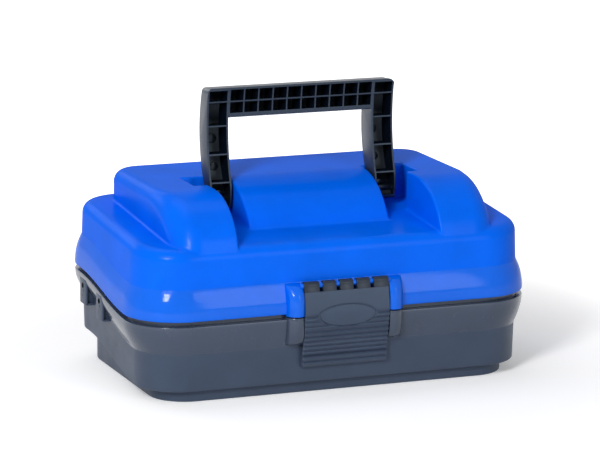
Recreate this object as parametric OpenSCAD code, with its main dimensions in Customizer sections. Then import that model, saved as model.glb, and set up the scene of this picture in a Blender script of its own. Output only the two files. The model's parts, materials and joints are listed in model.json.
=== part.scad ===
// Portable tackle box: a deep base, a two-tier lid with a folding carry handle and a
// front latch, and two cantilever trays that rise and step back as the lid opens.
//
// The origin is the centre of the footprint, on the surface that the box stands on.
// +X runs to the right along the front, the front faces -Y and +Z is up. Sizes are in mm.

/* [Body] */
// Half width of the box at the rim, where lid and base meet
rim_half_x = 170; // [168:0.5:172]
// Half depth of the box at the rim
rim_half_y = 102.4; // [101:0.2:104]
// Corner radius of the rim, seen from above
rim_corner = 44; // [42:1:46]
// Wall thickness of the base and the lid
wall = 2.4; // [2.2:0.1:2.6]
// Height of the lid's lower edge along the front
seam_front = 66.5; // [65:0.5:68]
// Height of the lid's lower edge along the rear
seam_rear = 81.7; // [80:0.1:83]
// Depth from the middle at which the seam starts to rise
sweep_start = -68; // [-74:1:-62]
// Depth from the middle at which the seam stops rising
sweep_end = 58.7; // [54:0.5:62]

/* [Base] */
// Height of the open gap between the lid's edge and the base's rim
rim_gap = 4; // [3:0.2:5]
// Height of the tongue that the lid closes over
tongue_height = 9; // [7:0.5:9.5]
// Lower edge of the base's flared band along the front
band_front = 39.3; // [38:0.2:41]
// Lower edge of the base's flared band along the rear
band_rear = 59.1; // [58:0.2:60]
// Height of the foot plinth along the front
plinth_front = 9.3; // [8:0.1:11]
// Height of the foot plinth along the rear
plinth_rear = 26.8; // [25:0.2:28]

/* [Lid] */
// Height of the lid's flared band
lid_band = 24.6; // [23:0.2:26]
// Height of the lid's lower deck, halfway from front to rear
deck_height = 128.3; // [127:0.1:129]
// Rise of the lower deck for each mm towards the rear
deck_slope = 0.0745; // [0.06:0.001:0.08]
// Height of the raised blocks and of the hump
top_height = 158; // [157:0.5:160]
// Half width over the two raised blocks
block_half_x = 137; // [135:0.5:139]
// Half width of the centre hump
hump_half_x = 60; // [58:0.5:60.5]
// Outer side of the handle channels, from the middle
channel_outer_x = 86; // [84:0.5:88]

/* [Handle] */
// Width of the handle
handle_width = 161.2; // [158:0.2:162]
// Width of each handle leg
leg_width = 18.4; // [18:0.2:19.2]
// Height of the handle above its pivot
handle_rise = 90.5; // [86:0.5:92]
// Angle that the raised handle leans back
handle_lean = 4.5; // [3:0.5:5]

/* [Latch] */
// Width of the latch
latch_width = 72; // [68:1:72]
// Number of knuckles along the latch's top edge
latch_knuckles = 5; // [4:1:6]

/* [Trays] */
// Height of each tray
tray_height = 26; // [22:1:26]
// Length of the arms from the base pivot to the upper tray
arm_reach = 74; // [72:0.5:75]
// Rise of the arms above level when the lid is shut
arm_rise_angle = 30; // [29:0.5:31]

/* [Hidden] */
$fn = 48;

slate = [0.27, 0.31, 0.36];
blue = [0.02, 0.33, 0.93];
near_black = [0.07, 0.08, 0.10];
tray_grey = [0.62, 0.65, 0.69];
steel = [0.72, 0.73, 0.75];

// ---------------------------------------------------------------- swept outlines

corner_steps = 8;
side_steps = 9;
big = 400;

// 0 along the front, 1 along the rear and a smooth S between them.
function sweep(y) =
    y <= sweep_start ? 0
    : y >= sweep_end ? 1
    : (1 - cos(180 * (y - sweep_start) / (sweep_end - sweep_start))) / 2;

// The value, or the outline, at a share of the way from a to b.
function between(a, b, share) = a + (b - a) * share;

function seam_z(y) = between(seam_front, seam_rear, sweep(y));
function ledge_z(y) = seam_z(y) - rim_gap;
function band_z(y) = between(band_front, band_rear, sweep(y));
function plinth_z(y) = between(plinth_front, plinth_rear, sweep(y));
function deck_z(y) = deck_height + deck_slope * y;

// An outline is [half width, half depth, corner radius].
function inset(outline, by) = [outline[0] - by, outline[1] - by, outline[2] - by];

rim = [rim_half_x, rim_half_y, rim_corner];
lid_wall = [rim_half_x - 5.3, rim_half_y - 5.5, rim_corner - 4];
base_head = [rim_half_x - 7.5, rim_half_y - 3.4, rim_corner - 6];
base_foot = [rim_half_x - 8.5, rim_half_y - 4.3, rim_corner - 7.6];
plinth = [rim_half_x - 19.5, rim_half_y - 9.6, rim_corner - 14];

// The right half of a rounded rectangle, from the front to the rear.
function half_outline(o) = concat(
    [for (i = [0:corner_steps]) let (a = -90 + 90 * i / corner_steps)
        [o[0] - o[2] + o[2] * cos(a), -o[1] + o[2] + o[2] * sin(a)]],
    [for (i = [1:side_steps - 1]) [o[0], between(-1, 1, i / side_steps) * (o[1] - o[2])]],
    [for (i = [0:corner_steps]) let (a = 90 * i / corner_steps)
        [o[0] - o[2] + o[2] * cos(a), o[1] - o[2] + o[2] * sin(a)]]);

// A closed ring of points round an outline, at the height that z(y) gives.
function ring(o, z) =
    let (half = half_outline(o), last = len(half) - 1)
    concat(
        [for (p = half) [p[0], p[1], z(p[1])]],
        [for (i = [last:-1:0]) [-half[i][0], half[i][1], z(half[i][1])]]);

// The faces of a closed end: strips from side to side, which stay flat on a swept ring.
function end_strips(first, count, flip) =
    [for (i = [0:count / 2 - 2])
        let (quad = [first + i, first + i + 1, first + count - 2 - i, first + count - 1 - i])
        for (t = flip ? [[0, 2, 1], [0, 3, 2]] : [[0, 1, 2], [0, 2, 3]])
            [quad[t[0]], quad[t[1]], quad[t[2]]]];

// The side faces of a stack of rings with count points each, up to ring number top.
function stack_sides(count, top) =
    [for (k = [0:top - 1]) for (i = [0:count - 1])
        let (a = k * count + i, b = k * count + (i + 1) % count)
        for (t = [[a, a + count, b + count], [a, b + count, b]]) t];

// A solid through a stack of rings, which all have the same number of points.
module loft(rings) {
    count = len(rings[0]);
    top = len(rings) - 1;
    polyhedron(
        points = [for (r = rings) each r],
        faces = concat(end_strips(0, count, false), stack_sides(count, top),
            end_strips(top * count, count, true)));
}

// Draws its children on the right and mirrored on the left.
module both_sides() {
    children();
    mirror([1, 0, 0]) children();
}

// Draws its children on one side: +1 is the right, -1 the left.
module on_side(side) {
    if (side > 0) children();
    else mirror([1, 0, 0]) children();
}

// Extrudes a drawing in (y, z) along X from x0 to x1.
module along_x(x0, x1) {
    translate([x0, 0, 0])
        rotate([90, 0, 90])
            linear_extrude(x1 - x0) children();
}

// A cylinder along X from x0 to x1, centred on at = [y, z].
module rod_x(at, radius, x0, x1) {
    translate([x0, at[0], at[1]])
        rotate([0, 90, 0]) cylinder(r = radius, h = x1 - x0);
}

module box(low, high) {
    translate(low) cube(high - low);
}

// ---------------------------------------------------------------- pivots, as [y, z]

hinge_radius = 3.3;
hinge_axis = [rim_half_y + 2.5, seam_rear - rim_gap / 2];
hinge_pin_radius = 1.5;
hinge_centre_x = 100;
hinge_segment = 10;
hinge_segments = 5;
hinge_relief = 0.45;

handle_pivot = [0, 141.5];
handle_pin_radius = 3;

latch_axis = [-102.6, 88.5];
latch_bar_radius = 2.2;
latch_barrel_radius = 4.2;

pivot_pin_radius = 2.5;
running_gap = 0.06;
pressed_gap = 0.02;
front_pivot = [2.7, 64];
rear_pivot = [44.6, 68];
lower_reach = 31;
lower_rise_angle = 20;

function arm_end(from, reach, angle) = from + reach * [-cos(angle), sin(angle)];
function upper_pivot(base_pivot) = arm_end(base_pivot, arm_reach, arm_rise_angle);
function lower_pivot(base_pivot) = arm_end(base_pivot, lower_reach, lower_rise_angle);

// The link runs parallel to the line from the rear arm's pivot to the lid hinge.
link_start = upper_pivot(rear_pivot);
link_end = link_start + hinge_axis - rear_pivot;

// Planes across the box, from the middle outwards
tray_half_x = 151.5;
tray_boss_x = 153.7;
arm_x = [154, 156.5];
link_x = [157.2, 159.7];
post_x = 156.9;
lug_x = 153.6;

// ---------------------------------------------------------------- base

guard_x = [36.6, 49.2];
latch_front = -110.5;
hood_half_y = 8;
hood_face_x = rim_half_x;
hood_below = 15.5;
hood_above = 6.5;
hood_plate = 1.8;
hood_sill = 1.6;
hood_roof = 5;
hood_eye_radius = 1.5;
post_radius = 5;
keeper_half_x = 24;
keeper_front = -101.6;

// One stack of rings: up the outside, over the tongue and down the inside to the floor.
module base_skin() {
    inner_rim = inset(rim, wall + 0.2);
    tongue_outer = inset(rim, 5.5);
    tongue_inner = inset(rim, 5.5 + wall - 0.2);
    floor_z = 2.6;
    loft(concat(
        [
            ring(inset(plinth, 1), function(y) 0),
            ring(plinth, function(y) 1.2),
            ring(plinth, function(y) plinth_z(y)),
            ring(inset(base_foot, 2.5), function(y) plinth_z(y)),
            ring(inset(base_foot, 0.7), function(y) plinth_z(y) + 0.7),
            ring(base_foot, function(y) plinth_z(y) + 2.5)
        ],
        [for (share = [0:0.25:1])
            ring(between(base_head, rim, sin(90 * share)),
                function(y) between(band_z(y), ledge_z(y) - 0.8, share))],
        [
            ring(inset(rim, 0.6), function(y) ledge_z(y)),
            ring(tongue_outer, function(y) ledge_z(y)),
            ring(tongue_outer, function(y) ledge_z(y) + tongue_height),
            ring(tongue_inner, function(y) ledge_z(y) + tongue_height),
            ring(tongue_inner, function(y) ledge_z(y) - wall)
        ],
        [for (share = [1:-0.25:0])
            ring(between(inset(base_head, wall), inner_rim, sin(90 * share)),
                function(y) between(band_z(y), ledge_z(y) - wall - 0.8, share))],
        [
            ring(inset(base_foot, wall), function(y) plinth_z(y) + wall + 2),
            ring(inset(base_foot, wall + 1.8), function(y) plinth_z(y) + wall),
            ring(inset(plinth, wall), function(y) plinth_z(y) + wall),
            ring(inset(plinth, wall), function(y) floor_z)
        ]));
}

// The rounded front of a latch guard on the right side, seen from above, as a tall block.
module guard_plan() {
    linear_extrude(big)
        polygon([[guard_x[0], -94], [guard_x[0], latch_front + 3], [38, latch_front + 1.4],
            [42, latch_front + 0.4], [45.5, latch_front + 1.7], [47.4, latch_front + 5],
            [guard_x[1], -102], [guard_x[1], -94]]);
}

// The hooded boss outside each arm pivot, on the right side.
module pivot_hood(pivot) {
    low = pivot[1] - hood_below;
    high = pivot[1] + hood_above;
    difference() {
        box([base_foot[0] - wall, pivot[0] - hood_half_y, low],
            [hood_face_x, pivot[0] + hood_half_y, high]);
        box([base_head[0] + 0.6, pivot[0] - big, low + hood_sill],
            [hood_face_x - hood_plate, pivot[0] + hood_half_y - hood_plate, high - hood_roof]);
        rod_x(pivot, hood_eye_radius, hood_face_x - hood_plate - 1, hood_face_x + 1);
    }
}

// A solid post from the wall to the arm, bored for the pivot pin.
module pivot_post(pivot) {
    rod_x(pivot, post_radius, post_x, base_head[0] + 4);
}

// Knuckles of the rear hinges: parity 0 gives the base's, 1 the lid's.
module hinge_knuckles(parity, leaf_low, leaf_high) {
    side_gap = 0.2;
    for (i = [parity:2:hinge_segments - 1]) {
        x0 = hinge_centre_x - hinge_segments * hinge_segment / 2 + i * hinge_segment + side_gap;
        x1 = x0 + hinge_segment - 2 * side_gap;
        rod_x(hinge_axis, hinge_radius, x0, x1);
        box([x0, rim_half_y - wall + 0.6, leaf_low], [x1, hinge_axis[0] + 1.6, leaf_high]);
    }
}

// Room cut from one shell for the other shell's knuckles.
module hinge_reliefs(parity) {
    for (i = [parity:2:hinge_segments - 1]) {
        x0 = hinge_centre_x - hinge_segments * hinge_segment / 2 + i * hinge_segment;
        rod_x(hinge_axis, hinge_radius + hinge_relief, x0 - 0.2, x0 + hinge_segment + 0.2);
    }
}

module hinge_bore() {
    half = hinge_segments * hinge_segment / 2 + 1;
    rod_x(hinge_axis, hinge_pin_radius + 0.05, hinge_centre_x - half, hinge_centre_x + half);
}

module base_shell() {
    color(slate)
    difference() {
        union() {
            difference() {
                base_skin();
                both_sides() hinge_reliefs(1);
            }
            both_sides() {
                pivot_hood(front_pivot);
                pivot_hood(rear_pivot);
                pivot_post(front_pivot);
                pivot_post(rear_pivot);
                hinge_knuckles(0, hinge_axis[1] - 9, hinge_axis[1] - 1);
                // Lower latch guard
                intersection() {
                    guard_plan();
                    along_x(guard_x[0], guard_x[1])
                        polygon([[-98, band_front + 1], [latch_front + 5, band_front + 2],
                            [latch_front + 1.6, band_front + 7], [latch_front + 0.6, 56],
                            [latch_front + 0.6, seam_front - 2.4], [-101, seam_front - 2.4],
                            [-101, 58], [-98, 54]]);
                }
            }
            // Keeper rib behind the latch
            along_x(-keeper_half_x, keeper_half_x)
                polygon([[-98, 46], [keeper_front, 48], [keeper_front, 51], [-98, 54]]);
        }
        both_sides() {
            rod_x(front_pivot, pivot_pin_radius + pressed_gap, 150, base_head[0] + 2);
            rod_x(rear_pivot, pivot_pin_radius + pressed_gap, 150, base_head[0] + 2);
            hinge_bore();
        }
    }
}

// ---------------------------------------------------------------- lid

deck_edge = 11;
wall_draft = 1;
block_edge = 13;
block_rear = 88;
block_rear_radius = 16;
nose_centre = [-38, 110];
nose_length = 57;
hump_centre = [7.5, 93.2];
hump_radius = 64.5;
channel_rear = 12.5;
notch_outer_x = 97;
notch_front = -21;
block_sink = 100;
stop_x = [87, 93];
lug_radius = 6;

// The lower tier, drawn smaller by skin, with its open end lowered by drop.
module lower_tier(skin, drop) {
    edge = deck_edge - skin;
    loft(concat(
        drop > 0 ? [ring(inset(rim, skin), function(y) seam_z(y) - drop)] : [],
        [for (share = [0:0.25:1])
            ring(inset(between(lid_wall, rim, cos(90 * share)), skin),
                function(y) seam_z(y) + lid_band * share)],
        [for (angle = [0:18:90])
            ring(inset(lid_wall, skin + wall_draft + edge * (1 - cos(angle))),
                function(y) deck_z(y) - skin - edge + edge * sin(angle))]));
}

// Side profile of the raised blocks, as [y, z], drawn smaller by skin.
function block_profile(skin) =
    let (rear = block_rear_radius - skin, height = top_height - nose_centre[1] - skin)
    concat(
        [[block_rear - skin, block_sink]],
        [for (a = [0:18:90])
            [block_rear - block_rear_radius + rear * cos(a),
                top_height - block_rear_radius + rear * sin(a)]],
        [for (a = [90:7.5:180])
            [nose_centre[0] + (nose_length - skin) * cos(a), nose_centre[1] + height * sin(a)]],
        [[nose_centre[0] - nose_length + skin, block_sink]]);

// The raised block over its whole width, with rounded side edges, drawn smaller by skin.
module raised_block(skin) {
    half = block_half_x - skin;
    edge = block_edge - skin;
    steps = 5;
    right = [for (i = [0:steps]) let (a = 90 * i / steps)
        [half - edge + edge * sin(a), skin + edge * (1 - cos(a))]];
    slices = concat([for (i = [steps:-1:0]) [-right[i][0], right[i][1]]], right);
    rings = [for (s = slices) [for (p = block_profile(s[1])) [s[0], p[0], p[1]]]];
    count = len(rings[0]);
    top = len(rings) - 1;
    polyhedron(
        points = [for (r = rings) each r],
        faces = concat(
            [[for (i = [0:count - 1]) i]],
            stack_sides(count, top),
            [[for (i = [count - 1:-1:0]) top * count + i]]));
}

// The handle's room between the raised blocks, drawn larger by skin.
module handle_recess(skin) {
    rear = channel_rear + skin;
    both_sides() {
        box([hump_half_x - skin, -big, block_sink - 1], [channel_outer_x + skin, rear, big]);
        box([channel_outer_x - 1, notch_front - skin, block_sink - 1],
            [notch_outer_x + skin, rear, big]);
    }
    difference() {
        box([-hump_half_x - 1, -big, block_sink - 1], [hump_half_x + 1, hump_centre[0], big]);
        rod_x(hump_centre, hump_radius - skin, -hump_half_x - 2, hump_half_x + 2);
    }
}

module lid_body() {
    difference() {
        union() {
            lower_tier(0, 0);
            difference() {
                raised_block(0);
                handle_recess(0);
            }
        }
        lower_tier(wall, 6);
        difference() {
            raised_block(wall);
            handle_recess(wall);
        }
        both_sides() hinge_reliefs(0);
    }
}

// The bar that the latch turns on, with a web in each gap between the latch's knuckles.
module latch_bar() {
    rod_x(latch_axis, latch_bar_radius, -guard_x[0] - 2, guard_x[0] + 2);
    for (i = [1:latch_knuckles - 1]) {
        x = -latch_width / 2 + i * latch_width / latch_knuckles;
        box([x - 1, latch_axis[0], latch_axis[1] - 1.6], [x + 1, -96, latch_axis[1] + 1.6]);
    }
}

// Lug under the deck that holds the outer end of a lid link.
module link_lug() {
    box([lug_x, link_end[0] - lug_radius, link_end[1]],
        [post_x, link_end[0] + lug_radius, deck_z(link_end[0]) - 1]);
    rod_x(link_end, lug_radius, lug_x, post_x);
}

module lid_shell() {
    color(blue)
    difference() {
        union() {
            lid_body();
            latch_bar();
            both_sides() {
                hinge_knuckles(1, hinge_axis[1] + 1, hinge_axis[1] + 6.5);
                link_lug();
                // Upper latch guard
                intersection() {
                    guard_plan();
                    along_x(guard_x[0], guard_x[1])
                        polygon([[-96, 92], [-102, 91.3], [-106.5, 87], [latch_front + 0.6, 78],
                            [latch_front + 0.4, 72], [latch_front + 0.4, seam_front - 1.4],
                            [-101.6, seam_front - 1.4], [-101.6, 72], [-96, 86]]);
                }
                // Stop rib over the tongue
                box([stop_x[0], -rim_half_y + 1.8, seam_front - rim_gap + tongue_height + 0.25],
                    [stop_x[1], -rim_half_y + 7.6, seam_front + 9.5]);
                // Seat of the handle pin
                rod_x(handle_pivot, pin_seat_radius, pin_x[0] - 1, hump_half_x - 0.5);
            }
        }
        both_sides() {
            rod_x(handle_pivot, handle_pin_radius + pressed_gap, pin_x[0], pin_x[1]);
            rod_x(link_end, pivot_pin_radius + pressed_gap, 150, post_x + 1);
            hinge_bore();
        }
    }
}

// ---------------------------------------------------------------- handle

leg_end = -8;
grip_low = 66;
rib = 1.5;
side_skin = 1.9;
back_skin = 3.5;
mid_rib = 79;
grip_cells = 10;
leg_ribs = [14.2, 36.5, 59.4];
handle_boss_radius = 5.6;
pin_seat_radius = 6;
pin_x = [53, 79.4];

// The handle bends back halfway up: its front and rear are arcs, at a height h above the pivot.
bend_radius = 135;
bend_height = 49;
front_crest = -7.8;
front_foot = -12.6;
rear_crest = 14.6;
function bend(h) = bend_radius - sqrt(pow(bend_radius, 2) - pow(h - bend_height, 2));
// Near the foot the front stays back, so that the folded legs clear the sloping deck.
function handle_front(h) = max(front_crest - bend(h), front_foot - deck_slope * h);
function handle_rear(h) = min(rear_crest - bend(h) * 1.5, 9.6 + max(0, h - 8) * 0.2);

// Side profile of the handle, as [y, height above the pivot], with its rear drawn in by skin.
function handle_profile(skin) = concat(
    [[-8, leg_end], [-10.6, leg_end + 3]],
    [for (h = [2:8:handle_rise - 8]) [handle_front(h), h]],
    [[handle_front(handle_rise - 2), handle_rise - 2.5], [handle_front(handle_rise) + 3, handle_rise]],
    [[handle_rear(handle_rise) - 4 - skin, handle_rise]],
    [for (h = [handle_rise - 3.5:-8:2]) [handle_rear(h) - skin, h]],
    [[9 - skin, leg_end + 3], [6 - skin, leg_end]]);

// Space between the legs, rounded under the grip for the fingers.
handle_gap_profile = [
    [-30, grip_low + 3], [-12, grip_low + 2.4], [-6, grip_low + 0.2], [0, grip_low - 1.2],
    [7, grip_low - 1], [13, grip_low + 1], [30, grip_low + 4], [30, leg_end - 5],
    [-30, leg_end - 5]
];

module handle_solid() {
    half = handle_width / 2;
    inner = half - leg_width;
    grip_roof = handle_rise - 1.8;
    cell = (2 * inner - rib) / grip_cells;
    // Lower and upper edge of each cell down the leg
    leg_edges = [leg_end + 2.5, each leg_ribs, mid_rib, grip_roof];
    difference() {
        along_x(-half, half) polygon(handle_profile(0));
        along_x(-inner, inner) polygon(handle_gap_profile);
        intersection() {
            translate([0, -1, 0])
                along_x(-half + side_skin, half - side_skin) polygon(handle_profile(back_skin - 1));
            union() {
                // Grip cells, in two rows
                for (i = [0:grip_cells - 1]) {
                    x0 = -inner + rib + i * cell;
                    box([x0, -big, grip_low + 5], [x0 + cell - rib, big, mid_rib - rib / 2]);
                    box([x0, -big, mid_rib + rib / 2], [x0 + cell - rib, big, grip_roof]);
                }
                // Leg cells, from the foot to the corner
                both_sides() for (i = [0:len(leg_edges) - 2])
                    box([inner + side_skin, -big, leg_edges[i] + rib / 2],
                        [half - side_skin, big, leg_edges[i + 1] - rib / 2]);
            }
        }
    }
    // Bosses that the pins run through
    both_sides() rod_x([0, 0], handle_boss_radius, inner + 1, half - 1);
}

module handle() {
    color(near_black)
    translate([0, handle_pivot[0], handle_pivot[1]])
        rotate([-handle_lean, 0, 0])
            difference() {
                handle_solid();
                both_sides()
                    rod_x([0, 0], handle_pin_radius + running_gap, hump_half_x - 5, pin_x[1] + 0.3);
            }
}

module handle_pin(side) {
    color(near_black)
    on_side(side) rod_x(handle_pivot, handle_pin_radius, pin_x[0], pin_x[1]);
}

// ---------------------------------------------------------------- latch

latch_bulge_z = 67;
latch_foot_z = 24.5;
latch_thickness = 2.2;
grip_rib_count = 8;
grip_rib_pitch = 4.2;
grip_rib_radius = 1.1;
knuckle_slot = 3.6;
catch_half_x = 22;
catch_gap = 1;
profile_steps = 16;

// Outer face of the latch at height z: steep over the top, longer and flatter below.
function latch_y(z) = z >= latch_bulge_z
    ? latch_front + 5 * pow((z - latch_bulge_z) / 24, 1.8)
    : latch_front + 9.1 * pow((latch_bulge_z - z) / (latch_bulge_z - latch_foot_z), 1.4);

module latch_plate_profile() {
    heights = [for (i = [0:profile_steps])
        between(latch_foot_z, latch_axis[1], i / profile_steps)];
    polygon(concat(
        [for (z = heights) [latch_y(z), z]],
        [for (i = [profile_steps:-1:0]) [latch_y(heights[i]) + latch_thickness, heights[i]]]));
}

module latch() {
    half = latch_width / 2;
    color(slate)
    difference() {
        union() {
            along_x(-half, half) latch_plate_profile();
            rod_x(latch_axis, latch_barrel_radius, -half, half);
            // Grip ribs across the lower plate
            for (i = [0:grip_rib_count - 1]) {
                z = latch_foot_z + 1.2 + i * grip_rib_pitch;
                rod_x([latch_y(z) + 0.4, z], grip_rib_radius, -half, half);
            }
            // Catch rib that stands in front of the base's keeper
            along_x(-catch_half_x, catch_half_x)
                polygon([[latch_y(44) + 1, 41], [keeper_front - catch_gap, 42.5],
                    [keeper_front - catch_gap, 45], [latch_y(47) + 1, 48]]);
        }
        rod_x(latch_axis, latch_bar_radius + running_gap, -half - 1, half + 1);
        // The barrel is open at the back, so that it snaps over the bar
        box([-half - 1, latch_axis[0] + 1.4, latch_axis[1] - 6],
            [half + 1, latch_axis[0] + 9, latch_axis[1] + 1.9]);
        // Gaps between the knuckles, for the bar's webs
        for (i = [1:latch_knuckles - 1]) {
            x = -half + i * latch_width / latch_knuckles;
            box([x - knuckle_slot / 2, latch_front - 2, latch_axis[1] - 5.5],
                [x + knuckle_slot / 2, latch_axis[0] + 9, latch_axis[1] + 9]);
        }
    }
}

// ---------------------------------------------------------------- trays

tray_front = -90;
tray_rear = 44;
tray_wall = 1.8;
tray_gap = 0.5;
upper_tray_z = 88.5;
lower_tray_z = upper_tray_z - tray_gap - tray_height;
front_corner = 28;
rear_corner = 8;
row_wall_y = -22;
divider_thickness = 1.4;
slot_rib = 1.2;
boss_depth = 3.5;

// A rounded tray outline with square() and circle(), drawn smaller by skin.
module tray_outline(skin) {
    half = tray_half_x - skin;
    front = tray_front + skin;
    rear = tray_rear - skin;
    fc = front_corner - skin;
    rc = rear_corner - skin;
    translate([-half, front + fc]) square([2 * half, rear - rc - front - fc]);
    translate([-half + fc, front]) square([2 * (half - fc), fc + 1]);
    translate([-half + rc, rear - rc - 1]) square([2 * (half - rc), rc + 1]);
    for (side = [-1, 1]) {
        translate([side * (half - fc), front + fc]) circle(fc);
        translate([side * (half - rc), rear - rc]) circle(rc);
    }
}

// A tray with a front row of fixed cells and a rear row for loose dividers.
module tray(z0, front_walls, rear_dividers, pivots) {
    z1 = z0 + tray_height;
    inner_high = z1 - 2;
    difference() {
        union() {
            difference() {
                translate([0, 0, z0]) linear_extrude(tray_height) tray_outline(0);
                translate([0, 0, z0 + tray_wall]) linear_extrude(tray_height) tray_outline(tray_wall);
            }
            // The wall between the two rows
            box([-tray_half_x + 1, row_wall_y - tray_wall / 2, z0 + 1],
                [tray_half_x - 1, row_wall_y + tray_wall / 2, inner_high]);
            // Fixed cross walls of the front row
            for (x = front_walls)
                box([x - tray_wall / 2, tray_front + 1, z0 + 1],
                    [x + tray_wall / 2, row_wall_y, inner_high]);
            // Guide ribs for the loose dividers, on both long walls of the rear row
            for (x = rear_dividers)
                for (shift = [-1, 1])
                    for (y = [row_wall_y + tray_wall / 2 - 0.5, tray_rear - tray_wall - 1.5]) {
                        low_x = x + shift * (divider_thickness / 2 + 0.3 + slot_rib / 2) - slot_rib / 2;
                        box([low_x, y, z0 + 1], [low_x + slot_rib, y + 2, inner_high - 1]);
                    }
            // Bosses that the arms' pins are pressed into
            both_sides() for (p = pivots)
                rod_x(p, post_radius, tray_half_x - boss_depth, tray_boss_x);
        }
        both_sides() for (p = pivots)
            rod_x(p, pivot_pin_radius + pressed_gap, tray_half_x - boss_depth - 1, tray_boss_x + 1);
    }
}

module dividers(z0, rear_dividers) {
    color(tray_grey)
    for (x = rear_dividers)
        box([x - divider_thickness / 2, row_wall_y + tray_wall / 2 + 0.2, z0 + tray_wall + 0.1],
            [x + divider_thickness / 2, tray_rear - tray_wall - 0.2, z0 + tray_height - 3]);
}

lower_front_walls = [-50, 50];
lower_dividers_x = [-75, 0, 75];
upper_front_walls = [-90, -30, 30, 90];
upper_dividers_x = [-100, -50, 0, 50, 100];

module lower_tray() {
    color(tray_grey)
    tray(lower_tray_z, lower_front_walls, lower_dividers_x,
        [lower_pivot(front_pivot), lower_pivot(rear_pivot)]);
}

module upper_tray() {
    color(tray_grey)
    tray(upper_tray_z, upper_front_walls, upper_dividers_x,
        [upper_pivot(front_pivot), upper_pivot(rear_pivot)]);
}

module lower_dividers() {
    dividers(lower_tray_z, lower_dividers_x);
}

module upper_dividers() {
    dividers(upper_tray_z, upper_dividers_x);
}

// ---------------------------------------------------------------- arms, links and pins

arm_eye_radius = 6;
bar_share = 0.78;
link_eye_radius = 4.6;

// A flat bar between two points in (y, z), with a round eye at each end.
module bar(a, b, eye_radius) {
    run = b - a;
    half_width = bar_share * eye_radius;
    translate(a) circle(eye_radius);
    translate(b) circle(eye_radius);
    translate(a)
        rotate(atan2(run[1], run[0]))
            translate([0, -half_width]) square([norm(run), 2 * half_width]);
}

// An arm from its base pivot past the lower tray's pivot to the upper tray's.
module arm(base_pivot) {
    color(near_black)
    difference() {
        along_x(arm_x[0], arm_x[1]) {
            bar(base_pivot, lower_pivot(base_pivot), arm_eye_radius);
            bar(lower_pivot(base_pivot), upper_pivot(base_pivot), arm_eye_radius);
        }
        for (p = [base_pivot, lower_pivot(base_pivot), upper_pivot(base_pivot)])
            rod_x(p, pivot_pin_radius + running_gap, arm_x[0] - 1, arm_x[1] + 1);
    }
}

module lid_link() {
    color(near_black)
    difference() {
        along_x(link_x[0], link_x[1]) bar(link_start, link_end, link_eye_radius);
        for (p = [link_start, link_end])
            rod_x(p, pivot_pin_radius + running_gap, link_x[0] - 1, link_x[1] + 1);
    }
}

// A pin with a thin head: the shaft from x0 to x1 and the head from x1 to x2.
module headed_pin(at, x0, x1, x2) {
    head_radius = 3.6;
    rod_x(at, pivot_pin_radius, min(x0, x1), max(x0, x1));
    rod_x(at, head_radius, min(x1, x2), max(x1, x2));
}

module base_pivot_pins() {
    color(steel)
    both_sides() for (p = [front_pivot, rear_pivot])
        headed_pin(p, base_head[0] + 1.5, arm_x[0] - 0.3, arm_x[0] - 1.5);
}

module lower_tray_pins() {
    color(steel)
    both_sides() for (p = [front_pivot, rear_pivot])
        headed_pin(lower_pivot(p), tray_half_x - boss_depth, arm_x[1] + 0.3, arm_x[1] + 1.4);
}

module upper_tray_pins() {
    color(steel)
    both_sides() {
        headed_pin(upper_pivot(front_pivot), tray_half_x - boss_depth, arm_x[1] + 0.3, arm_x[1] + 1.4);
        headed_pin(upper_pivot(rear_pivot), tray_half_x - boss_depth, link_x[1] + 0.2, link_x[1] + 1.1);
    }
}

module lid_link_pins() {
    color(steel)
    both_sides() headed_pin(link_end, lug_x, link_x[1] + 0.2, link_x[1] + 1.1);
}

module hinge_pin(side) {
    half = hinge_segments * hinge_segment / 2 - 0.3;
    color(steel)
    on_side(side)
        rod_x(hinge_axis, hinge_pin_radius, hinge_centre_x - half, hinge_centre_x + half);
}

base_shell();
lid_shell();
handle();
handle_pin(-1);  // handle_pin_left
handle_pin(1);  // handle_pin_right
latch();
hinge_pin(-1);  // hinge_pin_left
hinge_pin(1);  // hinge_pin_right
lower_tray();
upper_tray();
lower_dividers();
upper_dividers();
on_side(-1) arm(front_pivot);  // front_arm_left
on_side(1) arm(front_pivot);  // front_arm_right
on_side(-1) arm(rear_pivot);  // rear_arm_left
on_side(1) arm(rear_pivot);  // rear_arm_right
on_side(-1) lid_link();  // lid_link_left
on_side(1) lid_link();  // lid_link_right
base_pivot_pins();
lower_tray_pins();
upper_tray_pins();
lid_link_pins();
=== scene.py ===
"""Portable tackle box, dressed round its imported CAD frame.

The CAD gives the frame: +X runs to the right along the front, the front faces -Y and +Z is up.
Shapes are worked out in millimetres and turned into metres when a piece is finished. Each
sub-assembly is a class that holds its sizes, builds its pieces and lets them ride on their body.
"""
from __future__ import annotations

import json
import logging
import math
from collections.abc import Callable, Iterable, Mapping, Sequence
from dataclasses import astuple, dataclass, field
from enum import Enum
from functools import cached_property
from typing import ClassVar

import bmesh
import bpy
import numpy as np
from bmesh.types import BMEdge, BMesh, BMFace, BMVert
from mathutils import Matrix, Vector


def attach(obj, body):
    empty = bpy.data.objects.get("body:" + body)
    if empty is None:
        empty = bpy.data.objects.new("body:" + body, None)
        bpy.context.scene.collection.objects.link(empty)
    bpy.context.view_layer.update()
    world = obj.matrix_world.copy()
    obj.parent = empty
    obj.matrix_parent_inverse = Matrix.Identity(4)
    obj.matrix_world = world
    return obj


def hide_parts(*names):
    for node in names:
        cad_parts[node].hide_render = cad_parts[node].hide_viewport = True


log = logging.getLogger("tackle_box")

MM = 0.001
WHITE = (1.0, 1.0, 1.0, 1.0)
Point = tuple[float, float, float]
Spot = tuple[float, float]
Height = Callable[[float], float]
Reals = float | np.ndarray
Socket = bpy.types.NodeSocket

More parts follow.
